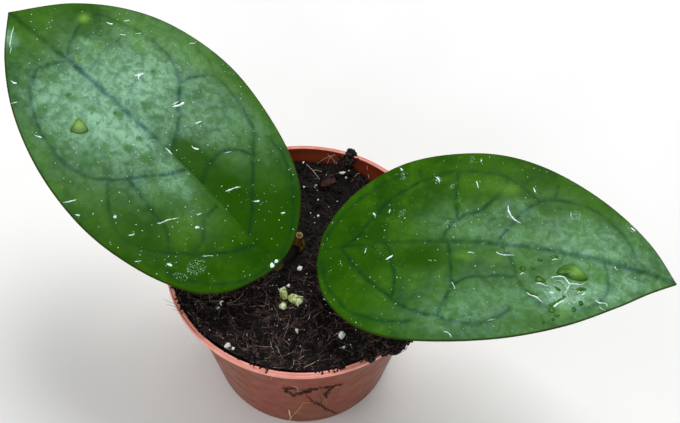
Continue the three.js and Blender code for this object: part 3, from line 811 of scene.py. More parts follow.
# The two leaves. left and right are their outlines, from base to tip.
LEFT_LEAF = Leaf(
    seed=3.7, base=(-7, -13, 76), azimuth=143.2, pitch=17.7, bank=0, arch=5, bend=-0.8,
    left=[
        (0, 0), (1, 7), (5, 18.5), (13, 27), (28, 33.2), (47, 35.8), (68, 33), (88, 25.2), (105, 13.6),
        (118.7, 0),
    ],
    right=[
        (0, 0), (1.2, -7.5), (6, -16.5), (15, -25.3), (31, -32.3), (55, -37.4), (76, -35.3), (93, -28.3),
        (108, -16), (118.7, 0),
    ],
    veins=[
        [(41, 0), (43, 4), (46, 9), (49.5, 14.5), (53.5, 20), (58, 23.5), (64, 25.6), (71, 25.6),
         (79, 23.4), (86, 20), (92, 15.5), (95.5, 10), (95, 5), (92.5, -1)],
        [(9, 0.5), (12.5, 8), (17, 14.5), (22, 20), (28, 26), (34, 29.4), (40, 29.8), (45.5, 27.3),
         (50, 23.4), (53.5, 20)],
        [(25, 22.5), (30, 19), (37, 17.5), (44, 16.6), (50, 15)],
        [(20, 17.8), (21.5, 12), (25, 7), (26, 1)],
        [(48, -1), (50.5, -5.5), (54, -10), (58, -14), (61.5, -18), (66, -22.4), (72, -24.3), (79, -24.9),
         (85, -24.4), (91, -22.4), (97, -20.3), (100.5, -15.5), (99, -10), (96.5, -5), (94.5, -1)],
        [(13, -0.5), (17, -6), (22, -11), (26.5, -15.8), (31, -21), (36, -26), (43, -29), (50, -30.4),
         (57, -30.6), (60.5, -27), (63.5, -20.5)],
        [(30, -19.5), (34.5, -17), (37.5, -12.5), (37, -6), (34, -1)],
        [(57, -30.6), (63, -33.2), (71, -34)],
        [(1.5, -3), (4.5, -11), (9.5, -17.6), (15, -22.8), (22, -26.5), (30, -28)],
        [(1.5, 4), (4, 12.5), (8.5, 19), (14, 24), (21, 27.5)],
    ],
    faint_veins=[
        [(45, -29), (47.5, -24.5), (52, -21), (58.5, -19), (61, -17.5)],
        [(60, 24.5), (60, 28.5), (57.5, 32.5)],
        [(85, -1), (86, -6), (88, -11.5), (87.5, -17), (88.5, -23)],
        [(66, -1), (68.5, -5), (72.5, -8.5), (73, -13)],
    ],
    # How dark the midrib is, by p.
    rib_tone=[(0, 0.1), (40, 0.2), (50, 0.5), (56, 0.9), (100, 1), (119, 0.8)],
    # Painted sheen in broad patches, then paler cells of painted reflection, then painted shade on the fold's
    # far half: p, q, half lengths and strength.
    sheen=[(71, -3, 25, 26, 0.85), (34, -22, 16, 10, 0.12), (28, 8, 8, 5, 0.12)],
    pale=[
        (60, 4, 6, 6, 0.3), (70, 9, 10, 6, 0.2), (85, 3, 7, 5, 0.2), (70, -11, 10, 6, 0.15),
        (41, 5, 8, 4.5, 0.3), (46, -18, 9, 6, 0.14), (46, -27, 16, 5, 0.15), (78, 14, 12, 7, 0.2),
        (112, 8, 5, 3.5, 0.6), (68, -20, 9, 4, 0.12), (94.4, -9.2, 2.2, 1.1, 0.4), (88, 15, 7, 5, 0.2),
        (46, 15, 7, 4, 0.15),
    ],
    deep=[(25, -5, 25, 6.5, 1), (42, -4, 9, 4.5, 0.8)],
    # Painted shade where the blade lies in shade; it also dims the painted sheen.
    shade=[
        (4, 0, 14, 26, 0.95), (33, 27, 13, 8, 0.9), (14, -14, 12, 9, 0.7), (48, -34, 30, 3, 0.4),
        (102, -18, 8, 7, 0.8), (108, -4, 9, 14, 0.35), (84, -28, 7, 4, 0.4), (60, -15, 5, 4, 0.45),
        (59, -5, 5, 3.5, 0.4), (92, -14, 6, 5, 0.35),
    ],
    # Spots of plainer green, which break up the painted sheen.
    spots=[
        (73.8, 22.9, 1.4, 1.4, 0.5), (62.5, 20.3, 3.4, 2.7, 0.45), (51, 6.3, 2.2, 1.9, 0.7),
        (57.6, 8.2, 1.8, 1.6, 0.8), (62.2, 12.7, 1.6, 1.5, 0.6), (57.7, 3, 1.2, 1, 0.6),
        (74.6, 6.7, 1.6, 1.4, 0.7), (81.4, 8.5, 2.6, 1.6, 0.7), (68, 1.7, 1.8, 1.7, 0.8),
        (64.3, -6.5, 2, 1.9, 0.6), (79.4, -14.1, 0.9, 0.9, 0.5), (78.4, -10.7, 1.3, 0.9, 0.5),
        (71.4, -16.7, 1.4, 1.4, 0.7), (91.2, 5.2, 1.2, 1, 0.4), (66.5, 23.8, 0.8, 0.7, 0.6),
        (84.1, 17.5, 2, 1.8, 0.7), (54.2, 0.6, 0.5, 0.5, 0.8), (54.2, 2.6, 0.5, 0.5, 0.8),
        (60.6, 5.4, 0.5, 0.5, 0.7), (65.2, 15.1, 1.2, 1.1, 0.5), (71.7, 14, 3, 2.4, 0.7),
    ],
    # Glow: painted light gathered under drops, and broad patches of yellower green.
    glow=[
        (72.4, 13.6, 1.6, 1.6, 0.5), (100.8, -15, 1.6, 1.8, 0.7), (90.6, -3.4, 0.9, 1, 0.5),
        (104, -3, 9, 12, 0.1), (76, -28, 16, 5, 0.1), (60, -33, 24, 4, 0.16), (90, -24, 10, 5, 0.14),
        (50, 30, 22, 6, 0.1), (27, 12, 9, 8, 0.12), (81.3, -20.1, 4, 2, 0.2), (90, -10.2, 3, 2, 0.15),
    ],
)

RIGHT_LEAF = Leaf(
    seed=11.3, base=(5.5, -7.3, 76), azimuth=-4.3, pitch=2.1, bank=5, arch=9, bend=3.6,
    left=[
        (0, 0), (0.8, 6), (4.6, 14), (12, 22.5), (24, 30.3), (38, 34.2), (54, 35.2), (70, 31.5), (88, 22.5),
        (102, 11.4), (110.2, 0),
    ],
    right=[
        (0, 0), (0.2, -6), (3.5, -16), (12, -25), (24, -29.6), (40, -30), (58, -27.3), (75, -21.4),
        (90, -13), (101, -5.6), (110.2, 0),
    ],
    veins=[
        [(8, 1), (12, 5), (15, 10), (18.5, 14.5), (23, 19), (28.5, 23), (35, 26.2), (43, 28), (50, 28.1),
         (57, 26.8), (62.5, 22.8), (67, 19.3)],
        [(54, 3.6), (57, 8), (60, 12), (63.5, 16.2), (67, 19.3), (72, 20.9), (79, 20.6), (86, 18.2),
         (92.5, 13.5), (96.5, 8.5), (97, 3.4)],
        [(38, 3.6), (40, 8.5), (44, 12), (49.5, 15.4), (54, 19.5), (57.5, 26.5)],
        [(41.5, 27.7), (41, 20), (42.5, 10.5)],
        [(30.5, 24), (29.5, 28)],
        [(61, 24.2), (65.5, 28.6)],
        [(71.5, 20.9), (73, 26)],
        [(7, 0.6), (11, -4.5), (15.5, -9.5), (21, -14.8), (27, -19.3), (33, -21.6), (38, -22.4),
         (43, -23.9), (49, -24), (54.5, -22), (58.5, -18)],
        [(40, 3.6), (40.5, -2), (41, -7.5), (41.5, -12), (39.5, -17), (38, -22.4)],
        [(41.5, -12), (46.5, -9.2), (52, -8.3), (59.5, -7)],
        [(56, 3.4), (58.3, -1.5), (60.3, -6.5), (62.5, -11.5), (67, -15), (73, -16.9), (80, -15.4),
         (86, -11), (88.5, -4), (87, 3.6)],
        [(21, 2.2), (23, -4), (24.5, -10), (24, -17)],
        [(1, -4), (4, -12), (8.5, -18.5), (15, -23), (23, -24.8), (30, -24.5)],
        [(1.5, 3.5), (5, 10.5), (10, 16.8), (17, 22.6), (25, 26.5)],
    ],
    faint_veins=[[(33, 25.4), (32.5, 18), (31, 12)]],
    rib_tone=[(0, 0.3), (20, 0.5), (35, 0.85), (60, 1), (111, 1)],
    # Painted sheen, painted shade, spots and glow, with the same columns as for the left leaf.
    sheen=[
        (94, -3, 30, 18, 0.36), (56, -18, 23, 11, 0.25), (42, 4, 22, 16, 0.05), (40, -24, 14, 6, 0.18),
    ],
    pale=[
        (75, -11, 8, 4, 0.35), (80, 9, 17, 8, 0.26), (52, 9, 10, 6, 0.13), (86, -8.5, 7, 2.8, 0.4),
        (93, -3, 5, 3, 0.2), (60, 16, 7, 4, 0.26), (72, 22, 9, 3, 0.08), (74, -13.5, 7, 3.5, 0.28),
        (78, 4.6, 24, 1.1, 0.2), (42, 9, 12, 8, 0.12), (59, 5, 5, 5, 0.2),
    ],
    deep=[(34, -2, 9, 5, 0.8), (24, -4, 14, 4, 0.4)],
    shade=[(5, 0, 12, 24, 0.8), (52, 31, 30, 4, 0.5), (90, 17, 10, 4, 0.2), (66, -22, 12, 3, 0.5)],
    spots=[(41.9, 17.1, 1.6, 2.2, 0.8), (60, -18.5, 1.2, 0.8, 0.4), (87, -5, 3, 4, 0.25)],
    glow=[
        (57.8, 22.5, 3, 2.4, 0.28), (52.5, 23.5, 3, 3, 0.08), (45, -1.6, 4, 1.2, 0.15),
        (80, 2, 34, 26, 0.06), (46, 26, 24, 8, 0.04), (74.1, -17, 2.2, 2.2, 0.25),
    ],
)

# Each stalk: p, q and depth inside the blade, then x, y, z down to its stem's node, and radius.
LEFT_PETIOLE = {
    "blade": [(13, 0, 1.5), (6, 0, 2.3), (0.4, 0, 2.5)],
    "free": [(-5.7, -8.9, 70.4), (-4.5, -4.9, 66.2), (-3.3, -0.9, 63.8)],
    "node": (-2.1, 3.5, 63),
    "radius": 1.4,
}
RIGHT_PETIOLE = {
    "blade": [(15, 1.6, 1.5), (8, 0.9, 2.3), (3.4, 0.4, 3.2)],
    "free": [(10, -8.2, 69.8)],
    "node": (12.6, -8.6, 63.6),
    "radius": 1.55,
}


# Water, dried splash marks and painted glints on the leaves

# Splash marks and painted glints: p, q, length, width, angle, bow, and tint from a faint film, partly painted
# sheen of wet film, to white.
# lines: long splash marks and painted glints along the edges of wet patches, as places, width and tint.
# drops: p, q, length, width, angle, height, and how strong the painted glow of light gathered in them is.
# pools: standing drops of their own outline, as its places, height and where the painted glow of light
# gathered in it lies.
# specks: how many fine ones, which share of them is bright, partly as painted glints, and their usual angle.
LEFT_WETNESS = {
    "splashes_and_glints": [
        (58, -14.3, 4.2, 1, 70, 0.2, 1), (59, -14, 2.4, 0.5, 78, 0, 0.8), (56.1, 33, 4, 0.45, 60, 0.2, 0.9),
        (44, -7.7, 2.4, 0.7, 20, 0.4, 1), (18.7, -9.6, 2, 0.6, 48, 0, 0.9),
        (22.2, 25.5, 1.7, 0.8, 30, 0.2, 1), (96.8, 17.4, 2, 0.7, 20, 0.3, 1),
        (48.9, -0.9, 3.2, 0.45, 0, 0, 1), (25.1, 10.8, 1.6, 0.8, 70, 0, 0.9),
        (27.7, 7.2, 1.8, 0.4, 70, 0, 0.6), (16.6, 14.9, 3.6, 0.35, 52, 0, 0.6),
        (77.6, 25.2, 2.2, 0.5, 30, 0, 0.9), (91, 22.5, 2, 0.4, 62, 0, 0.8),
        (88, -19.5, 2.2, 0.4, 40, 0, 0.8), (94, -19.6, 2.2, 0.6, 30, 0.2, 0.9),
        (85, -23.4, 2, 0.4, 60, 0, 0.7), (91, -24.2, 2, 0.4, 60, 0, 0.8), (71, -34, 2.4, 0.4, 60, 0, 0.8),
        (49.4, -14.6, 2.2, 0.6, 70, 0, 0.9), (74, -12.9, 2.8, 0.8, 62, 0.3, 1),
        (73.7, -12.6, 1.3, 1, 15, 0, 1), (73.2, -11.9, 1.9, 0.5, 150, 0, 0.9),
        (51.3, 34.3, 1.8, 0.4, 30, 0, 0.8), (29.3, 31.6, 2, 0.35, 55, 0, 0.8),
        (36.4, 27.2, 1.9, 0.5, 60, 0.2, 0.7), (43.6, 26.9, 1.2, 0.9, 0, 0, 0.7),
        (36, -14.2, 2.4, 0.3, 62, 0, 0.7), (10.3, -13.2, 1.8, 0.4, 60, 0, 0.9),
        (1.1, 1.5, 2, 1.3, -20, 0, 1), (1.1, -0.5, 1.4, 1.1, 40, 0, 1), (17.4, 25.6, 5, 2.2, -152, 0, 0.3),
        (16.4, 20, 6.6, 5, 75, 0, 0.25),
    ],
    "lines": [
        ([(27.5, -4.4), (26.9, -5.8), (26.3, -7.5), (25.2, -9.1)], 0.6, 1),
        ([(33.9, 19.1), (33.1, 17.5), (32.3, 15.3), (30.8, 12.9)], 0.5, 0.95),
        ([(107.6, 9.4), (110.4, 6.4), (113.4, 2.6)], 0.5, 0.8),
        ([(105.6, 11), (107.8, 8.6)], 0.35, 0.6),
    ],
    "drops": [(90.6, -3.4, 1.3, 1.2, 0, 0.25, 0.5), (23.8, 24.6, 1.3, 1, 0, 0.3, 0)],
    "pools": [
        ([(74.9, 11.8), (72, 12), (69.3, 13), (70.2, 15.6), (72.8, 17.3), (74.2, 14.6)], 0.3, (72.7, 13.5)),
    ],
    "specks": 560, "bright": 0.4, "lean": 62,
}
RIGHT_WETNESS = {
    "splashes_and_glints": [
        (22.3, -3, 2.7, 0.75, 40, 0, 1), (47.6, 23.3, 2.6, 0.5, -72, 0, 1),
        (35.2, 24.6, 2.2, 0.6, -60, 0.3, 1), (35.2, 24.4, 3.6, 2.8, -60, 0, 0.39),
        (24.2, 26, 3, 2.4, 70, 0, 0.38), (23.4, 28.4, 1.8, 0.4, -50, 0, 0.7),
        (45.5, 32.6, 3, 1.6, 80, 0, 0.33), (48.4, 32.4, 1.2, 0.3, 75, 0, 0.7),
        (40, 9.5, 5, 2.5, 20, 0, 0.18), (0.9, 2.2, 1.5, 1, 90, 0, 0.35),
        (46.8, -0.5, 2.2, 0.35, -10, 0.2, 0.8), (78.4, 16.4, 4, 3, 60, 0, 0.3),
        (95.8, 15.6, 3.6, 2.2, -35, 0, 0.39), (96.6, 15.2, 1.8, 0.6, -35, 0, 0.9),
        (16.2, 12.4, 1.8, 0.4, -52, 0, 0.9), (20.9, 13.4, 1.8, 0.3, 85, 0, 0.6),
        (14.7, -0.4, 1.9, 0.4, 84, 0, 0.9), (39.6, 22.6, 2.4, 1.6, 72, 0, 0.36),
        (25, 12.5, 4, 2, 60, 0, 0.2), (65.4, 23.2, 1.8, 0.5, -70, 0, 0.8),
        (41.2, -28, 2.8, 0.35, -36, 0.4, 0.9), (42, -12, 2.4, 0.4, -65, 0, 0.6),
        (53.5, -22.5, 2.4, 0.3, 20, 0, 0.5), (71, -11.4, 1.8, 0.4, -15, 0, 0.9),
        (73.5, -11.5, 11, 6, -10, 0, 0.39),
    ],
    "lines": [
        ([(70.7, -6.4), (72.2, -5.8), (74.2, -5.5), (75.4, -6.4), (76.3, -7.5), (78.2, -7.3), (79.5, -7.3),
          (81, -6.5)], 0.6, 1),
        ([(71.9, -7.1), (73.5, -7.1), (75, -8.4), (75.7, -9.7)], 0.3, 0.7),
        ([(76.3, -7.7), (76, -8.6), (75.3, -10.2), (74.4, -11.6)], 0.4, 0.8),
        ([(66.2, -8.8), (67.8, -8.8), (69.1, -9.4), (69.7, -9.1)], 0.5, 1),
        ([(63.5, -12.3), (64.7, -13), (66.3, -13.5), (67.5, -14.4), (68.3, -15.1)], 0.55, 1),
        ([(72.5, -10), (73.4, -10.7), (74, -11.2)], 0.4, 0.8),
        ([(77.9, -9.9), (78.8, -9.4), (79.1, -9.8), (78.5, -10.5)], 0.4, 1),
        ([(79.8, -10.7), (80.5, -10.2), (81.1, -9.5)], 0.5, 1),
        ([(71.6, -16.3), (72.3, -15.1), (73.7, -14), (74.8, -13.6)], 0.75, 1),
        ([(83.9, -11.6), (85.1, -12.3), (86.4, -12.2), (87.3, -12.5), (87.5, -13.3)], 0.55, 0.9),
        ([(85.1, -13.7), (85.9, -14.3), (86.9, -14.7)], 0.35, 0.8),
        ([(77, 17.6), (76.8, 16), (77.6, 14.8)], 0.3, 0.6),
        ([(57.3, 16.7), (57.5, 15.2), (58.3, 13.4), (59.7, 12.1), (61.4, 11.1)], 0.75, 1),
        ([(54.2, 0.5), (56, -0.2), (58, -0.1), (59.8, 0.1)], 0.45, 1),
        ([(61.6, -6.6), (62.3, -5.8), (63.1, -6.2)], 0.35, 0.8),
        ([(71.1, -0.2), (71.9, 0.3), (72.8, 0.3)], 0.5, 0.9),
        ([(90.5, 1.4), (90.8, 0.5), (91.6, 0.3)], 0.4, 0.8),
    ],
    "drops": [
        (62.2, -4.4, 1.9, 1.9, 8, 0.3, 0), (67.5, -0.6, 1.6, 1.3, 8, 0.3, 0),
        (65.5, -3.9, 1.2, 0.9, 8, 0.3, 0), (79.6, -13.5, 1.6, 1.7, 8, 0.3, 0),
        (77.5, -15.9, 1.4, 1.7, 8, 0.3, 0), (72.4, -18.6, 1.8, 1.3, 8, 0.3, 0),
        (71.3, -20.2, 0.9, 1.1, 8, 0.3, 0), (68.4, -21.6, 0.8, 1, 8, 0.3, 0),
        (71.8, 1.1, 2.4, 1.5, 8, 0.3, 0), (74.4, -12.1, 0.9, 0.7, 8, 0.3, 0),
        (41.8, 16.9, 3.4, 1.9, 55, 0.2, 0),
    ],
    "pools": [
        ([(72.2, -4.9), (73, -3), (74.8, -1.4), (76.8, -0.8), (79.1, -1.1), (80.8, -3.1), (81.9, -5.1),
          (80.4, -6), (78.3, -6.2), (76.1, -5.8), (74.7, -5), (73.4, -5.3)], 0.8, (78.7, -3.1)),
        ([(65.8, -8.2), (66.4, -6.3), (67.8, -6.4), (69.3, -7.9), (67.8, -8.5), (66.2, -8.6)], 0.4, None),
        ([(63.1, -11.2), (64.7, -11.7), (66.6, -12.3), (67, -13), (65.3, -12.9),
          (63.8, -12.3)], 0.35, None),
        ([(71.4, -9.3), (72.6, -9.3), (73.7, -10.1), (73.4, -10.8), (72.2, -10.2)], 0.3, None),
        ([(78, -9.1), (79.5, -8.1), (81.1, -8.2), (81.3, -8.9), (79.5, -9.4), (78.4, -9.7)], 0.4, None),
        ([(69.6, -15.7), (71.6, -14.4), (73.4, -12.9), (75.4, -11.8), (73.9, -13.3), (72.1, -14.7),
          (70.7, -15.9)], 0.25, None),
        ([(70, -16.4), (71, -15.8), (72, -16.6), (71.7, -17.9), (70.6, -18.2), (69.9, -17.4)], 0.35, None),
    ],
    "specks": 480, "bright": 0.24, "lean": -40,
}


def dome(centre, outline, tall, rings):
    """A low dome in the leaf over an outline: its places, heights over the leaf and faces."""
    levels = np.linspace(1, 0, rings + 1)[:-1]
    places = np.concatenate([centre + (outline - centre) * level for level in levels] + [[centre, centre]])
    rise = np.repeat(tall * np.sqrt(1 - levels**2), len(outline))
    rise = np.concatenate([rise, [-DOME_DEEP, tall]]) - DOME_SINK
    return np.column_stack([places, rise]), ring_faces(rings, len(outline))


def swing(x, y, angle):
    """A place in the leaf's plane turned by an angle in degrees."""
    a = math.radians(angle)
    return x * math.cos(a) - y * math.sin(a), x * math.sin(a) + y * math.cos(a)


def oval(random, p, q, length, width, angle, sides, ragged=0.14):
    """The centre and outline of an uneven oval in the leaf."""
    a = round_angles(sides)
    wobble = 1 + ragged * sum(np.sin(k * a + random.uniform(0, 6)) / k**0.5 for k in (2, 3, 5))
    x, y = swing(length / 2 * wobble * np.cos(a), width / 2 * wobble * np.sin(a), angle)
    return np.array([p, q]), np.column_stack([p + x, q + y])


def speck(random, place, size, tall):
    return dome(*oval(random, *place, size, size * 0.7, 0, 8), tall, 2)


def streak(random, knots, width, tall):
    """A thin raised line with tapered ends, which wavers and swells a little along its knots."""
    long = np.linalg.norm(np.diff(even_spline(knots, 8), axis=0), axis=1).sum()
    steps = int(np.clip(long / 0.18, 8, 48))
    run = even_spline(knots, steps)
    side = left_of(np.gradient(run, axis=0))
    at = np.linspace(0, long, steps + 1)
    phase = random.uniform(0, 6, 4)
    waver = 0.04 * np.sin(at * 1.7 + phase[0]) + 0.03 * np.sin(at * 4.1 + phase[1])
    swell = 0.85 + 0.2 * np.sin(at * 2.3 + phase[2]) + 0.12 * np.sin(at * 5.3 + phase[3])
    run = run + side * (waver * min(1, long / 2.5))[:, None]
    half = width / 2 * swell * taper(steps, *STREAK_TAPER)
    a = round_angles(STREAK_SIDES)
    places = run[:, None] + (half[:, None] * np.cos(a))[..., None] * side[:, None]
    rise = np.maximum(tall * np.sin(a), -0.05) * np.ones((steps + 1, 1))
    ends = [[*run[0], 0.0], [*run[-1], 0.0]]
    vertices = np.concatenate([np.dstack([places, rise]).reshape(-1, 3), ends])
    return vertices, ring_faces(steps + 1, STREAK_SIDES)


def specks(leaf, random, count):
    """Places for fine specks, dried marks and painted glints, thicker towards the leaf's base and kept off
    its edge.
    """
    p = random.uniform(1, leaf.length - 2, 4 * count)
    q = random.uniform(-38, 38, 4 * count)
    sides = [np.abs(np.interp(p, side[:, 0], side[:, 1])) for side in leaf.outlines]
    within = np.abs(q) < np.where(q > 0, *sides) - 0.9
    wanted = random.random(4 * count) < 1.15 - 0.6 * p / leaf.length
    return np.column_stack([p, q])[within & wanted][:count]


def film(random, p, q, length, width, angle):
    """Fine specks that fill an oval of the leaf, a dried film that also paints the sheen of wet film: their
    places and sizes.
    """
    marks = []
    for _ in range(int(4 * length * width)):
        reach, way = math.sqrt(random.random()), random.uniform(0, 2 * math.pi)
        x, y = swing(length / 2 * reach * math.cos(way), width / 2 * reach * math.sin(way), angle)
        marks.append(((p + x, q + y), random.uniform(0.16, 0.36)))
    return marks


def splash(random, dried, p, q, length, width, angle, bow, tint):
    """One mark: a film of specks, a rounded spot or a bowed streak, with its satellites; dried residue, and
    painted glints where it is bright.
    """
    if tint < 0.4:
        for place, size in film(random, p, q, length, width, angle):
            dried.add(*speck(random, place, size, 0.06), tint * random.uniform(1, 2.5))
        return
    at = np.array([p, q])
    if width > 0.5 * length or length < 1.9:
        outline = oval(random, p, q, length, max(width, 0.45) * 1.15, angle, 16, 0.18)
        dried.add(*dome(*outline, 0.1 * min(1, tint + 0.3), 3), tint)
    else:
        half = np.array(swing(length / 2, 0, angle))
        knots = [at - half, at + swing(0, bow, angle), at + half]
        dried.add(*streak(random, knots, width * 0.95, 0.12), tint)
    for _ in range(int(random.integers(1, 4)) if length > 1.1 else 0):
        place = at + random.normal(0, 0.35 + 0.3 * length, 2)
        dried.add(*speck(random, place, random.uniform(0.16, 0.38), 0.08), random.uniform(0.4, 1))


def fine_speck(random, p, q, wetness):
    """One of the many specks all over a leaf, and its tint: bright and larger, partly as a painted glint, or
    faint.
    """
    bright = random.random() < wetness["bright"]
    long = random.uniform(0.3, 0.5) if bright else random.uniform(0.14, 0.34)
    wide = long * random.uniform(0.5, 0.95)
    angle = random.normal(wetness["lean"], 25)
    tint = random.uniform(0.6, 1) if bright else random.random() ** 1.5
    return *dome(*oval(random, p, q, long, wide, angle, 8, 0.2), 0.09, 2), tint


def wet_leaf(leaf, wetness, name, water, residue_and_glint):
    """Dried splash marks, painted glints, fine specks and standing drops on the blade's upper face."""
    random = np.random.default_rng(int(leaf.seed * 100))
    dried, wet = Bodies(), Bodies()
    for mark in wetness["splashes_and_glints"]:
        splash(random, dried, *mark)
    # Painted glints along the edges of wet patches, and long splash marks.
    for knots, width, tint in wetness["lines"]:
        dried.add(*streak(random, knots, 0.82 * width, 0.16), tint)
    for p, q in specks(leaf, random, wetness["specks"]):
        dried.add(*fine_speck(random, p, q, wetness))
    # A drop's tint is the painted glow of light gathered in it.
    for *extent, tall, glow in wetness["drops"]:
        wet.add(*dome(*oval(random, *extent, 32, 0.1), tall, 8), glow)
    for outline, tall, glow_at in wetness["pools"]:
        ring = even_spline(outline + outline[:1], 40)[:-1]
        vertices, faces = dome(ring.mean(0), ring, tall, 8)
        away = np.hypot(*(vertices[:, :2] - glow_at).T) if glow_at else 9
        wet.add(vertices, faces, 0.8 * bell(away / 2))
    for group, finish, bodies in (("splashes_and_glints", residue_and_glint, dried), ("drops", water, wet)):
        p, q, rise = np.concatenate(bodies.points).T
        bodies.points = [leaf.place(p, q, leaf.surface(p, q) + rise)]
        bodies.piece(f"{name}_{group}", finish, "leaf")


# Stems and shoots

# Each stem is x, y, z and radius, from its foot in the soil to its dried cut end.
LEFT_STEM = [
    (-2.4, 4.8, 44, 1.8), (-2.3, 4.3, 56, 1.8), (-2.2, 3.8, 60.5, 1.9), (-2.1, 3.5, 63, 2.5),
    (-1.9, 3.3, 65.2, 1.5), (-1.4, 3.2, 69, 1.15),
]
RIGHT_STEM = [
    (13.2, -8.2, 44, 1.8), (13, -8.4, 56, 1.8), (12.8, -8.5, 61, 1.9), (12.6, -8.6, 63.6, 2.5),
    (12.8, -8.5, 65.8, 1.5), (13.4, -8.2, 68.8, 1.15),
]
# Young shoots: foot, tip and widest radius.
SHOOTS = [
    ((-4.7, -15.9, 59.4), (-6.2, -12.9, 63), 1.55),
    ((-3.8, -14.6, 60), (1.4, -18.4, 62), 1.85),
    ((-5, -18.9, 59), (-5.5, -19.1, 62), 1.35),
]


def stem(points, name, finish):
    """A rooted cutting: ridged bark, a swollen node with its scar, and a dished, paler cut end."""
    path = spline(points, STEM_STEPS)
    vertices, faces = tube(path[:, :3], path[:, 3], STEM_SIDES)
    level = np.concatenate([np.repeat(np.arange(STEM_STEPS + 1), STEM_SIDES), [0, STEM_STEPS]])
    axis = path[level, :3]
    ridges = 1 + 0.1 * rough(vertices * [1, 1, 0.3], 1.1, 3) + 0.05 * np.sin(vertices[:, 2] * 4.5)
    vertices = axis + (vertices - axis) * ridges[:, None]
    vertices[-1, 2] -= CUT_DISH
    tints = smooth(STEM_STEPS - 3, STEM_STEPS, level.astype(float))
    tints[-1] = 0.3
    make_piece(name, vertices, faces, finish, {"tint": tints}, [name])


def bract(foot, tip, width, curl, face):
    """A small pointed scale leaf, cupped about its axis and closed by a thin lower face."""
    axis = tip - foot
    long = np.linalg.norm(axis)
    axis = axis / long
    side = unit(np.cross(axis, face))
    out = np.cross(side, axis)
    u = np.linspace(0, 1, BRACT_ROWS + 1)[:, None]
    bend = curl * np.linspace(-1, 1, BRACT_COLUMNS + 1)[None, :]
    half = width * np.sin(np.pi * (0.12 + 0.88 * u) ** 0.75) ** 0.8
    across = half * np.sin(bend) / max(math.sin(curl), 0.3)
    lift = half * (np.cos(bend) - math.cos(curl)) + 0.18 * long * u**2
    sheets = []
    for shift in (0.0, -BRACT_THICK):
        move = across[..., None] * side + (lift + shift * (1 - 0.6 * u))[..., None] * out
        sheets.append((foot + (u * long)[..., None] * axis + move).reshape(-1, 3))
    index = np.arange(across.size).reshape(across.shape)
    faces = grid_faces(index) + grid_faces(index + index.size, flip=True)
    loop = np.concatenate([index[0, :-1], index[:-1, -1], index[-1, :0:-1], index[:0:-1, 0]])
    under = loop + index.size
    faces += np.column_stack([loop, under, np.roll(under, -1), np.roll(loop, -1)]).tolist()
    return np.concatenate(sheets), faces, np.tile(np.broadcast_to(u, index.shape).ravel(), 2)


def young_shoots(finish):
    """A cluster of buds, each a core wrapped in cupped scale leaves."""
    random = np.random.default_rng(52)
    bodies = Bodies()
    for foot, tip, radius in SHOOTS:
        foot, tip = np.array(foot, float), np.array(tip, float)
        rise = tip - foot
        axis = unit(rise)
        core, faces = strand([foot, foot + rise * 0.45, foot + rise * 0.86], 16, radius, BUD_TAPER, 16)
        tints = np.interp(core @ axis, [foot @ axis, tip @ axis], [-0.7, 0.7])
        bodies.add(core, faces, np.clip(tints, 0, 1))
        for k in range(BRACTS):
            angle = 2.4 * k + random.uniform(-0.3, 0.3)
            face = turn(angle, axis) @ np.cross(axis, [0.2, 0.9, 0.3])
            start = foot + rise * (0.1 + 0.1 * k) + face * radius * 0.35
            end = foot + rise * (0.72 + 0.07 * k) + face * radius * 0.75
            scale, faces, along = bract(start, end, radius * 0.75, 0.9, face)
            bodies.add(scale, faces, np.clip(along * 2.4 - 1.7 + random.uniform(-0.1, 0.4), 0, 1))
    bodies.piece("young_shoots", finish, "shoot", ["young_shoots"])


# Pot

# Dusty places on the front of the wall: angle round the pot in degrees, height, spread and strength.
SMEARS = [(-90, 41.5, 8, 2.5, 0.6), (-75, 40, 6, 3, 0.5), (-79, 26, 5, 8, 0.35), (-98, 52, 4, 6, 0.3)]


def wall_radius(z):
    return BASE_RADIUS + DRAFT * z + FLARE * np.exp((z - LIP_UNDER) / FLARE_TALL)


def quarter(x, z, radius, start, count):
    """Places along a quarter circle about x, z, counterclockwise from the angle start."""
    angles = start + np.linspace(0, math.pi / 2, count)
    return [(x + radius * math.cos(a), z + radius * math.sin(a)) for a in angles]


def pot_profile():
    """Outline from the axis out, up the wall, over the stepped lip and down the inside."""
    band = POT_HEIGHT - BAND_TALL
    inner = RIM_RADIUS - RIM_WIDTH
    return [
        (0, 0), *FOOT_GROOVE,
        *[(BASE_RADIUS - inset, rise) for inset, rise in BASE_EDGE],
        *[(min(wall_radius(z), RIM_RADIUS - 0.4), z) for z in np.linspace(1.4, band - 0.15, 36)],
        *[(RIM_RADIUS - inset, band + rise) for inset, rise in BAND_EDGE],
        *quarter(RIM_RADIUS - BEAD, POT_HEIGHT - 0.55, BEAD, 0, 7),
        *[(RIM_RADIUS - inset, POT_HEIGHT - drop) for inset, drop in RIM_GROOVE],
        *quarter(inner + RIM_ROUND, POT_HEIGHT - RIM_ROUND, RIM_ROUND, math.pi / 2, 5),
        (inner - 0.12, POT_HEIGHT - 1.2),
        *[(wall_radius(z) - WALL, z) for z in np.linspace(LIP_UNDER - 0.9, FLOOR + 1.2, 24)],
        (wall_radius(FLOOR + 0.5) - WALL - 0.3, FLOOR + 0.5),
        (wall_radius(FLOOR) - WALL - 1.1, FLOOR),
        (0, FLOOR),
    ]


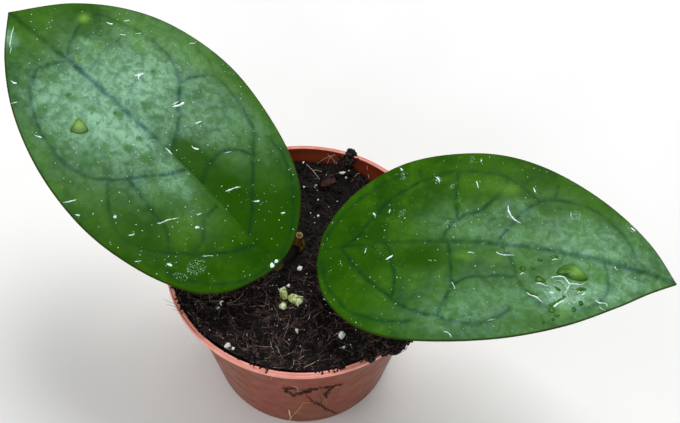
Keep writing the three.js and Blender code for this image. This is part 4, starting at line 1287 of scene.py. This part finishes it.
def pot_mesh(finish):
    """The moulded pot, very slightly out of round, with its drain holes and the tones of its finish."""
    profile = np.array(pot_profile())
    angles = round_angles(POT_SIDES)
    radii, heights = profile[1:-1, :1], profile[1:-1, 1:]
    wander = 1 + 0.0012 * np.sin(3 * angles + 0.8) + 0.0006 * np.sin(7 * angles)
    x, y = polar(radii * wander, angles)
    rings = np.stack([x, y, np.broadcast_to(heights, x.shape)], axis=-1).reshape(-1, 3)
    vertices = np.concatenate([rings, [[0, 0, profile[0, 1]], [0, 0, profile[-1, 1]]]])
    pot = make_piece("pot", vertices, ring_faces(len(radii), POT_SIDES), finish, {}, ["pot"])
    drill_drains(pot)
    x, y, z = np.array([v.co for v in pot.data.vertices]).T / MM
    reach = np.hypot(x, y)
    wall_inside = np.where(z > LIP_UNDER, RIM_RADIUS - RIM_WIDTH + 0.06, wall_radius(z) - 0.4)
    inside = (reach < wall_inside) & (z > FLOOR + 0.2) & (z < POT_HEIGHT - 0.2)
    smears = np.clip(patches(SMEARS, np.degrees(np.arctan2(y, x)), z), 0, 1)
    set_attribute(pot.data, "dirt", np.where(inside, 0.25 * smooth(61, 57, z), smears))
    # Where the rim band's painted light lies.
    set_attribute(pot.data, "rim", smooth(-0.1, 0.02, z - POT_HEIGHT + BAND_TALL))
    set_attribute(pot.data, "inside", inside.astype(float))


def drill_drains(pot):
    """Cuts the ring of drain holes through the floor."""
    bodies = Bodies()
    for k in range(DRAIN_HOLES):
        at = np.array([*polar(DRAIN_RING, 2 * math.pi * (k + 0.5) / DRAIN_HOLES), 0])
        bodies.add(*tube([at + [0, 0, -2], at + [0, 0, FLOOR + 2]], DRAIN_RADIUS, 40))
    drill = add_mesh("drill", np.concatenate(bodies.points), bodies.faces)
    cut = pot.modifiers.new("drains", "BOOLEAN")
    cut.operation = "DIFFERENCE"
    cut.solver = "MANIFOLD"
    cut.object = drill
    bpy.context.view_layer.update()
    pot.data = bpy.data.meshes.new_from_object(pot.evaluated_get(bpy.context.evaluated_depsgraph_get()))
    pot.data.shade_smooth()
    pot.modifiers.clear()
    bpy.data.objects.remove(drill)


# Soil


def seeded(seed):
    """The part's own small generator, so that the soil's larger lumps lie where the part has them."""
    state = seed
    while True:
        state = (state * 16807) % 2147483647
        yield state / 2147483647


def soil_lumps():
    draw = seeded(LUMP_SEED)
    reach = wall_radius(SOIL_LEVEL) - WALL - 2
    lumps = []
    for _ in range(SOIL_LUMPS):
        r = reach * math.sqrt(next(draw))
        angle = 2 * math.pi * next(draw)
        tall = LUMP_TALL[0] + (LUMP_TALL[1] - LUMP_TALL[0]) * next(draw)
        wide = LUMP_WIDE[0] + (LUMP_WIDE[1] - LUMP_WIDE[0]) * next(draw)
        lumps.append((*polar(r, angle), tall, wide))
    return lumps


SOIL_BUMPS = BANKS + soil_lumps()


def soil_top(x, y, fine=True):
    """Height of the soil: level, banks, lumps and, if fine, its crumbly surface."""
    z = SOIL_LEVEL - SOIL_FALL * y + 0.9 * np.sin(x / 13 + 1) * np.cos(y / 15)
    for bx, by, tall, wide in SOIL_BUMPS:
        z = z + tall * bell(np.hypot(x - bx, y - by) / wide)
    reach = np.hypot(x, y)
    front_left = smooth(-0.1, 0.5, -0.7 * (x + y) / np.maximum(reach, 1))
    z = z + EDGE_RISE * smooth(33, 43, reach) * front_left
    if fine:
        points = np.column_stack([np.ravel(x), np.ravel(y)])
        crumbly = 0.75 * rough(points, 4.2, 4, 5.1) + 0.5 * rough(points, 1.3, 3, 9.4)
        z = z + crumbly.reshape(np.shape(x))
    return z


def on_soil(x, y):
    return float(soil_top(np.array([x]), np.array([y]))[0])


def soil_limit(z):
    """How far out the soil may reach at a height, clear of the wall and the lip."""
    return np.minimum(wall_radius(z) - WALL, RIM_RADIUS - RIM_WIDTH - 0.12) - GAP


def soil_body(finish):
    """One closed plug that fills the pot down to its floor."""
    angles = round_angles(SOIL_SIDES)
    brink = soil_limit(np.full(SOIL_SIDES, SOIL_LEVEL))
    for _ in range(4):
        brink = soil_limit(soil_top(*polar(brink, angles), fine=False))
    r = (np.arange(SOIL_RINGS) + 1)[:, None] / SOIL_RINGS * brink
    x, y = polar(r, angles)
    z = soil_top(x, y)
    pull = np.minimum(1, soil_limit(z) / np.maximum(r, 1e-6))
    rings = [*np.stack([x * pull, y * pull, z], axis=-1)]
    for height, inset in ((50, 0), (30, 0), (FLOOR + 1.6, 0), (FLOOR + GAP, 1.4)):
        edge = polar(soil_limit(height) - inset, angles)
        rings.append(np.column_stack([*edge, np.full(SOIL_SIDES, height)]))
    vertices = np.concatenate([*rings, [[0, 0, on_soil(0.0, 0.0)], [0, 0, FLOOR + GAP]]])
    faces = ring_faces(len(rings), SOIL_SIDES, flip=False)
    make_piece("soil", vertices, faces, finish, {"tint": np.zeros(len(vertices))}, ["soil"])


def soil_spots(random, count, margin=0.4):
    """Random places on the soil, up to the wall and no farther."""
    r = (soil_limit(SOIL_LEVEL + EDGE_RISE) - margin) * np.sqrt(random.random(count))
    angle = random.uniform(0, 2 * math.pi, count)
    x, y = polar(r, angle)
    pull = np.minimum(1, (soil_limit(soil_top(x, y)) - margin) / r)
    return np.column_stack([x * pull, y * pull, soil_top(x * pull, y * pull)])


def back_shade(y):
    """Painted shade under the leaves: how much of a crumb's or fibre's tint is kept, all at the front, less
    behind the shoots.
    """
    return 1 - 0.66 * smooth(-16, 0, y)


# Crumbs left on the rim: from and to angle in degrees, and how many.
RIM_CRUMBS = [
    (-124, -112, 4), (-110, -106, 6), (-104, -95, 24), (-86, -78, 6), (-77, -69, 22), (-64, -58, 12),
    (-56, -30, 60), (66, 76, 8), (-160, -128, 36),
]
# The threads that stand out: their points, radius and tint.
THREADS = [
    ([(-1.4, 39.8, 59.6), (1.3, 36.8, 59.8), (3.8, 33.4, 59.4)], 0.095, 0.95),
    ([(1.3, 37.2, 59.6), (2.9, 37, 59.9), (4.5, 36.5, 59.5)], 0.075, 0.95),
    ([(-30.3, -18.7, 60.6), (-26.2, -18.3, 61), (-22.3, -18.9, 61), (-19.3, -16.9, 61.2), (-18, -13.8, 61)],
      0.082, 0.82),
    ([(-23, -19.4, 60.8), (-20, -19.3, 61.1), (-17.4, -18.6, 61)], 0.068, 0.69),
    ([(-19.8, -33.3, 61.2), (-17.8, -32.1, 61.6), (-16.4, -29.8, 61.4)], 0.088, 0.69),
    ([(17.1, 36.9, 59.6), (15.9, 34.6, 59.7), (14.9, 32.7, 59.2)], 0.082, 0.9),
    ([(-12.9, -33.9, 61.4), (-10.4, -34.2, 61.7), (-7.6, -34, 61.5)], 0.088, 0.86),
    # Tan fibres on the inside of the far wall.
    ([(6.1, 42.2, 62.8), (8, 41.6, 61), (9, 40.2, 59.6)], 0.08, 1),
    ([(8.6, 42, 63), (6.9, 41.8, 61), (6.2, 40.3, 59.6)], 0.08, 1),
    ([(8.9, 42, 62.9), (5.4, 41.6, 61.2), (2.8, 40.6, 59.4)], 0.08, 0.95),
    ([(20.2, 37.8, 62.9), (20.6, 37.2, 60.6), (21.2, 35.4, 58.6)], 0.09, 1),
    # Strands that reach out over the left of the rim.
    ([(-34, -22.4, 62), (-38.8, -22.2, 64.3), (-42.8, -20.6, 64.5)], 0.054, 0.26),
    ([(-33.6, -23.4, 62), (-37.6, -23.3, 64.3), (-41.6, -22.6, 64.9)], 0.054, 0.21),
    ([(-33.4, -24.2, 62), (-37, -24.5, 64.3), (-39.6, -24.4, 65)], 0.048, 0.17),
]

# White grains: x, y, three half sizes, and how white.
GRAINS = [
    (14, -28.3, 1.02, 1.15, 0.95, 1), (14.8, -32.7, 0.5, 0.55, 0.45, 1), (-20.9, -36, 1, 0.8, 0.7, 0.2),
    (-19.2, -36.6, 0.55, 0.5, 0.45, 0.7), (-24.6, -18.8, 0.9, 0.8, 0.7, 0.9),
    (-25.8, -20.9, 0.6, 0.35, 0.35, 0.8), (-0.9, -4.5, 0.8, 1.15, 0.6, 0.6),
    (8.2, -15.4, 0.4, 1.2, 0.5, 0.9), (4, 18.2, 0.5, 0.5, 0.45, 1), (-2.3, 40.6, 0.45, 0.45, 0.4, 1),
    (13.4, 38.6, 0.5, 0.5, 0.45, 0.3), (14.1, 36.4, 0.5, 0.5, 0.45, 1), (11.6, 35.5, 1.2, 0.5, 0.5, 0.5),
    (13, 34.4, 0.6, 0.35, 0.35, 0.2), (-1.5, 30.1, 0.38, 0.36, 0.35, 0.8), (2.6, 31, 0.6, 0.3, 0.3, 0.3),
    (2.1, 30.1, 0.4, 0.25, 0.25, 0.3), (3.6, 25.2, 0.3, 0.6, 0.35, 0.2), (-0.3, -27.8, 0.5, 0.8, 0.4, 0.3),
    (-4, -11.6, 0.6, 0.55, 0.5, 0.7),
]
# Bark bits: x, y, and three half sizes.
BARK = [
    (6.8, 32.1, 2.6, 1.8, 1.1), (4.5, -27.6, 2.2, 1.3, 0.7), (6.5, -17.4, 1.8, 0.9, 0.6),
    (17.5, 34.5, 1.3, 1.1, 0.8), (-28, -31.5, 1.7, 0.7, 0.5), (21.6, -29.6, 1.8, 1, 0.7),
]


def clod(random, bodies, x, y, z, radius):
    """A rounded core under a crust of crumbs."""
    core = radius * CLOD_CORE
    bodies.add(*lump(random, (x, y, z), (core, core, core * CLOD_FLAT), 3, 0.4, (0, 0)), 0.05)
    for _ in range(int(24 * radius)):
        angle, tilt = random.uniform(0, 2 * math.pi), random.uniform(-0.2, 1.3)
        away = np.array([*polar(math.cos(tilt), angle), CLOD_FLAT * math.sin(tilt)])
        sizes = random.uniform(0.2, 0.7) * random.uniform(0.4, 1.5, 3)
        centre = np.array([x, y, z]) + core * random.uniform(0.75, 1.08) * away
        bodies.add(*lump(random, centre, sizes, 2, 0.5), random.random() ** 3)


def rim_crumb(random, bodies, low, high):
    """A crumb on the lip or just inside it, between two angles."""
    angle = math.radians(random.uniform(low, high))
    r = min(random.normal(wall_radius(LIP_UNDER) - 0.9, 0.6), RIM_RADIUS)
    size = random.uniform(0.15, 0.5)
    rise = POT_HEIGHT + 0.2 * size if r > wall_radius(LIP_UNDER) - WALL else POT_HEIGHT - 0.8
    centre = (*polar(r, angle), rise)
    bodies.add(*lump(random, centre, size * random.uniform(0.4, 1.6, 3), 2, 0.5), random.random() ** 3)


def crumbs(finish):
    """Loose crumbs over the soil, thick on the clods, and a few scattered on the rim."""
    random = np.random.default_rng(811)
    bodies = Bodies()
    for spot in soil_spots(random, CRUMBS):
        size = 0.2 + 0.75 * random.random() ** 3
        sizes = size * random.uniform(0.4, 1.5, 3)
        tint = random.random() ** 3 * back_shade(spot[1])
        bodies.add(*lump(random, spot + [0, 0, 0.15 * size], sizes, 2 if size > 0.45 else 1, 0.5), tint)
    for place in CLODS:
        clod(random, bodies, *place)
    for low, high, count in RIM_CRUMBS:
        for _ in range(count):
            rim_crumb(random, bodies, low, high)
    bodies.piece("soil_crumbs", finish, "soil")


def soil_fibres(random, bodies):
    """Fine threads that lie every way over the soil, darker towards the back as painted shade under the
    leaves.
    """
    start = soil_spots(random, FIBRES, 0.2)[:, :2]
    turns = np.cumsum(random.normal(0, 0.2, (FIBRES, FIBRE_KNOTS)), axis=1)
    heading = random.uniform(0, 2 * math.pi, (FIBRES, 1)) + turns
    step = random.uniform(0.35, 1.3, (FIBRES, 1))
    x = start[:, :1] + np.cumsum(step * np.cos(heading), axis=1)
    y = start[:, 1:] + np.cumsum(step * np.sin(heading), axis=1)
    lift = random.uniform(-0.1, 0.6, (FIBRES, 1))
    lift = lift + random.normal(0, 0.16, (FIBRES, 1)) * np.arange(FIBRE_KNOTS)
    pull = np.minimum(1, (soil_limit(soil_top(x, y) + lift) - 0.2) / np.hypot(x, y))
    x, y = x * pull, y * pull
    for knots in np.stack([x, y, soil_top(x, y) + lift], axis=-1):
        pale = random.random() < 0.1
        thick = random.uniform(0.042, 0.098) * (1.2 if pale else 1)
        tint = random.uniform(0.62, 1) if pale else 0.66 * random.random() ** 0.8
        bodies.add(*strand(knots, FIBRE_KNOTS + 1, thick, FIBRE_TAPER, 3), tint * back_shade(knots[0, 1]))


def clod_fibres(random, bodies, cx, cy, cz, radius):
    """Threads that run round a clod."""
    for _ in range(int(9 * radius)):
        angle, tilt = random.uniform(0, 2 * math.pi), random.uniform(0, 1.2)
        turns = angle + random.uniform(-0.35, 0.35) * np.arange(4)
        flat = radius * random.uniform(0.85, 1.02) * np.cos(tilt + 0.2 * random.uniform(-1, 1) * np.arange(4))
        rise = CLOD_FLAT * np.sqrt(np.maximum(radius**2 - flat**2, 0)) + 0.1
        knots = np.column_stack([cx + flat * np.cos(turns), cy + flat * np.sin(turns), cz + rise])
        bodies.add(*tube(spline(knots, 6), random.uniform(0.06, 0.12), 3), 0.5 * random.random())


def fibres(finish):
    """Coir and root threads: fine ones over the soil and its clods, and those that stand out."""
    random = np.random.default_rng(4177)
    bodies = Bodies()
    soil_fibres(random, bodies)
    for place in CLODS:
        clod_fibres(random, bodies, *place)
    for points, thick, tint in THREADS:
        knots = [(x, y, max(z, on_soil(x, y) + 0.35) if z < FREE_THREAD else z) for x, y, z in points]
        bodies.add(*strand(knots, 6 * len(knots), thick, THREAD_TAPER, 6), tint)
    bodies.piece("soil_fibres", finish, "soil")


def grains(finish):
    """White grains: those that stand out, and many small ones."""
    random = np.random.default_rng(97)
    bodies = Bodies()
    for x, y, *sizes, white in GRAINS:
        centre = (x, y, on_soil(x, y) + 0.6 * sizes[2])
        bodies.add(*lump(random, centre, sizes, 3 if sizes[0] > 0.6 else 2, 0.55), white)
    for spot in soil_spots(random, SMALL_GRAINS):
        size = random.uniform(0.08, 0.22)
        bodies.add(*lump(random, spot + [0, 0, 0.3 + size], [size] * 3, 1, 0.3), random.uniform(0.2, 1))
    bodies.piece("white_grains", finish, "soil")


def bark_bits(finish):
    """Bark chips that lie flat in the soil; the first of them is the red one."""
    random = np.random.default_rng(613)
    bodies = Bodies()
    spots = [(np.array([x, y, on_soil(x, y)]), sizes) for x, y, *sizes in BARK]
    for spot in soil_spots(random, SMALL_BARK, 3):
        size = random.uniform(0.4, 1.3)
        spots.append((spot, [size, size * random.uniform(0.3, 0.6), size * random.uniform(0.15, 0.35)]))
    for k, (spot, sizes) in enumerate(spots):
        centre, lean = spot + [0, 0, 0.3 * sizes[2]], random.uniform(-0.3, 0.3, 2)
        bodies.add(*lump(random, centre, sizes, 3 if sizes[0] > 1.6 else 2, 0.45, lean), float(k == 0))
    bodies.piece("bark_bits", finish, "soil")


# Marks on the wall

# Rootlets stuck to it: angle in degrees and height of each point, radius and tint.
WALL_ROOTS = [
    ([(-94.6, 16.5), (-94.7, 13), (-94.5, 9), (-94.2, 6.7), (-95, 3.8), (-95.6, 1.7)], 0.3, 1),
    ([(-93.9, 7.4), (-91.5, 12.6), (-89.3, 17.4), (-87.8, 22), (-86.5, 26.1), (-83.4, 26.7),
      (-81.2, 25.9)], 0.22, 0.75),
    ([(-91.6, 45.2), (-89.7, 44.5), (-89, 40.7), (-89.8, 36.9)], 0.11, 0.95),
    ([(-99, 61), (-99.6, 56.4), (-100.5, 52.5), (-101.4, 48.5)], 0.13, 0.9),
    ([(-75, 27.3), (-73.5, 23.6), (-73.9, 19.6)], 0.1, 0.9),
    ([(-98.3, 44.1), (-96.3, 44.3), (-94.3, 44.6)], 0.09, 0.9),
    ([(-97.5, 47.2), (-95.6, 48), (-94, 49.8)], 0.08, 0.85),
]
# Streaks of dried soil: angle and height of each point, and radius.
WALL_STREAKS = [
    ([(-96.1, 41.6), (-93.6, 42.4), (-90.8, 42.8)], 0.6),
    ([(-95.2, 40.3), (-94.5, 37.6), (-92.5, 36.1), (-90.7, 33.2)], 0.62),
    ([(-89.9, 35.6), (-87.5, 38.1), (-84.9, 39.2), (-83.3, 40.7), (-82.8, 43.1)], 1.2),
    ([(-81.9, 41.7), (-80.6, 41)], 0.75),
    ([(-79.7, 42.1), (-76.8, 41.7), (-74.1, 41.4), (-71.6, 40.7), (-69.9, 41), (-67.9, 40.2)], 0.5),
    ([(-71.3, 39.9), (-73.4, 37.3), (-74.9, 34.6), (-74.2, 28.9)], 0.5),
    ([(-76.4, 34.8), (-73.7, 28.2)], 0.3),
    ([(-84.8, 35.8), (-83.1, 30.7), (-81.2, 26.3), (-78.8, 23.4), (-76.3, 19.6), (-72.9, 13.9),
      (-69.4, 9.8), (-65.3, 3.8)], 0.42),
    ([(-77.3, 30.2), (-76.9, 25), (-76.5, 19.7)], 0.16),
]


def wall_point(angle, height, lift=0):
    return (*polar(wall_radius(height) + lift, math.radians(angle)), height)


def wall_rootlets(finish):
    bodies = Bodies()
    for points, thick, tint in WALL_ROOTS:
        knots = [wall_point(a, z, thick * 0.6) for a, z in points]
        bodies.add(*strand(knots, 8 * len(knots), thick, ROOTLET_TAPER, 8), tint)
    bodies.piece("wall_rootlets", finish, "soil")


def dried_streak(random, bodies, path, thick):
    """A ragged streak of soil pressed flat on the wall."""
    ragged = 1.2 + 0.8 * rough(path, 0.9, 2, random.uniform(0, 50))
    radii = thick * ragged * taper(len(path) - 1, *SMEAR_TAPER)
    points, faces = tube(path, np.maximum(radii, 0.05), 10)
    wall = wall_radius(points[:, 2])
    reach = np.hypot(points[:, 0], points[:, 1])
    points[:, :2] *= ((wall + 0.4 * (reach - wall)) / reach)[:, None]
    bodies.add(points, faces, random.uniform(0, 0.3))


def dried_crumb(random, bodies, x, y, z):
    """A flat crumb stuck to the wall near a place."""
    angle = math.degrees(math.atan2(y, x)) + random.normal(0, 0.9)
    height = z + random.normal(0, 0.7)
    size = random.uniform(0.1, 0.32)
    points, faces = lump(random, (0, 0, 0), (size * 1.5, size * 0.5, size), 2, 0.5, (0, 0))
    turned = points @ turn(math.radians(angle) + math.pi / 2, (0, 0, 1)).T
    bodies.add(turned + wall_point(angle, height), faces, random.random() ** 2)


def wall_soil(finish):
    """Dried soil on the front of the wall."""
    random = np.random.default_rng(2209)
    bodies = Bodies()
    for points, thick in WALL_STREAKS:
        knots = [wall_point(a, z, -thick * 0.45) for a, z in points]
        path = spline(knots, 12 * len(knots))
        dried_streak(random, bodies, path, thick)
        for place in path[:: max(1, int(1.0 / thick))]:
            dried_crumb(random, bodies, *place)
    bodies.piece("wall_soil", finish, "soil")


# Stage, light and camera

PHOTO_WIDTH = 680
FOCAL_PIXELS = 974.8
CAMERA_HEIGHT_ANGLE = math.radians(54.83)
CAMERA_ROLL = math.radians(2.74)
CAMERA_PLACE = (11.5, -173.1, 333.5)
FLOOR_HALF = 3000
FLOOR_CELLS = 40
# Each light: name, direction, distance, size and how bright the panel itself looks.
LIGHTS = [
    ("key", (0.22, 0.36, 0.9), 2.6, (1.3, 1.3), 7.6),
    ("left", (-1.0, -0.2, 0.45), 2.6, (1.4, 1.4), 2.0),
    ("back", (-0.1, 1.0, 0.36), 3.0, (5.0, 1.6), 1.5),
    ("front", (-0.2, -1.0, 0.5), 2.6, (1.8, 1.8), 1.6),
]
LIGHT_TARGET = Vector((0, 0, 0.06))


def make_camera():
    """The photograph's view: from the front, looking down at the pot."""
    e, roll = CAMERA_HEIGHT_ANGLE, CAMERA_ROLL
    back = Vector((0, -math.cos(e), math.sin(e)))
    up = Vector((0, math.sin(e), math.cos(e)))
    side = Vector((1, 0, 0))
    right = math.cos(roll) * side + math.sin(roll) * up
    upward = -math.sin(roll) * side + math.cos(roll) * up
    turned = Matrix((right, upward, back)).transposed().to_4x4()
    data = bpy.data.cameras.new("camera")
    data.sensor_width = 36
    data.lens = FOCAL_PIXELS / PHOTO_WIDTH * data.sensor_width
    data.clip_start, data.clip_end = 0.02, 20
    camera = add_object("camera", data)
    camera.matrix_world = Matrix.Translation(Vector(CAMERA_PLACE) * MM) @ turned
    bpy.context.scene.camera = camera


def softbox(name, direction, distance, size, radiance):
    """A light panel that faces the plant."""
    way = Vector(direction).normalized()
    data = bpy.data.lights.new(name, "AREA")
    data.shape = "RECTANGLE"
    data.size, data.size_y = size
    data.energy = radiance * math.pi * size[0] * size[1]
    panel = add_object(name, data)
    panel.location = way * distance + LIGHT_TARGET
    panel.rotation_mode = "QUATERNION"
    panel.rotation_quaternion = way.to_track_quat("Z", "Y")
    panel.visible_camera = False


def make_light():
    world = bpy.data.worlds.new("studio")
    world.use_nodes = True
    back = world.node_tree.nodes["Background"].inputs
    back["Color"].default_value = (1, 1, 1, 1)
    back["Strength"].default_value = 0.35
    bpy.context.scene.world = world
    for light in LIGHTS:
        softbox(*light)


def make_floor():
    f = Finish("studio floor", {"Specular IOR Level": 0.1})
    finish = f.done(f.mix(f.spread(60, 2, 0.3, 0.7), (0.9, 0.9, 0.9), (0.92, 0.92, 0.92)), 0.9)
    lines = np.linspace(-FLOOR_HALF, FLOOR_HALF, FLOOR_CELLS + 1)
    x, y = np.meshgrid(lines, lines, indexing="ij")
    points = np.stack([x, y, np.zeros_like(x)], axis=-1).reshape(-1, 3)
    floor = add_mesh("floor", points, grid_faces(np.arange(x.size).reshape(x.shape)))
    floor.data.materials.append(finish)


def plain_view():
    view = bpy.context.scene.view_settings
    view.view_transform = "Standard"
    view.look = "None"


plain_view()
make_camera()
make_light()
make_floor()

loam = soil_finish("potting soil", SOIL_DARK, SOIL_BROWN, SOIL_SPECK)
pot_mesh(pot_finish())
soil_body(loam)
crumbs(loam)
fibres(strand_finish("plant fibre", FIBRE_DARK, FIBRE_BROWN, FIBRE_STRAW, FIBRE_PALE))
grains(grain_finish())
bark_bits(bark_finish())
wall_rootlets(strand_finish("rootlet", POT_OLIVE, ROOT_TAN, ROOT_TAN, ROOT_PALE))
wall_soil(soil_finish("dried soil", WALL_DIRT, WALL_DIRT_PALE, WALL_DIRT_PALE))

leaf_skin, stalk_skin, wood = leaf_finish(), petiole_finish(), stem_finish()
water, residue_and_glint = water_finish(), residue_and_glint_finish()
for side, leaf, stalk, wetness, cutting in (
    ("left", LEFT_LEAF, LEFT_PETIOLE, LEFT_WETNESS, LEFT_STEM),
    ("right", RIGHT_LEAF, RIGHT_PETIOLE, RIGHT_WETNESS, RIGHT_STEM),
):
    blade(leaf, f"{side}_leaf", leaf_skin)
    petiole(leaf, stalk, f"{side}_petiole", f"{side}_leaf", stalk_skin)
    wet_leaf(leaf, wetness, f"{side}_leaf", water, residue_and_glint)
    stem(cutting, f"{side}_stem", wood)
young_shoots(shoot_finish())
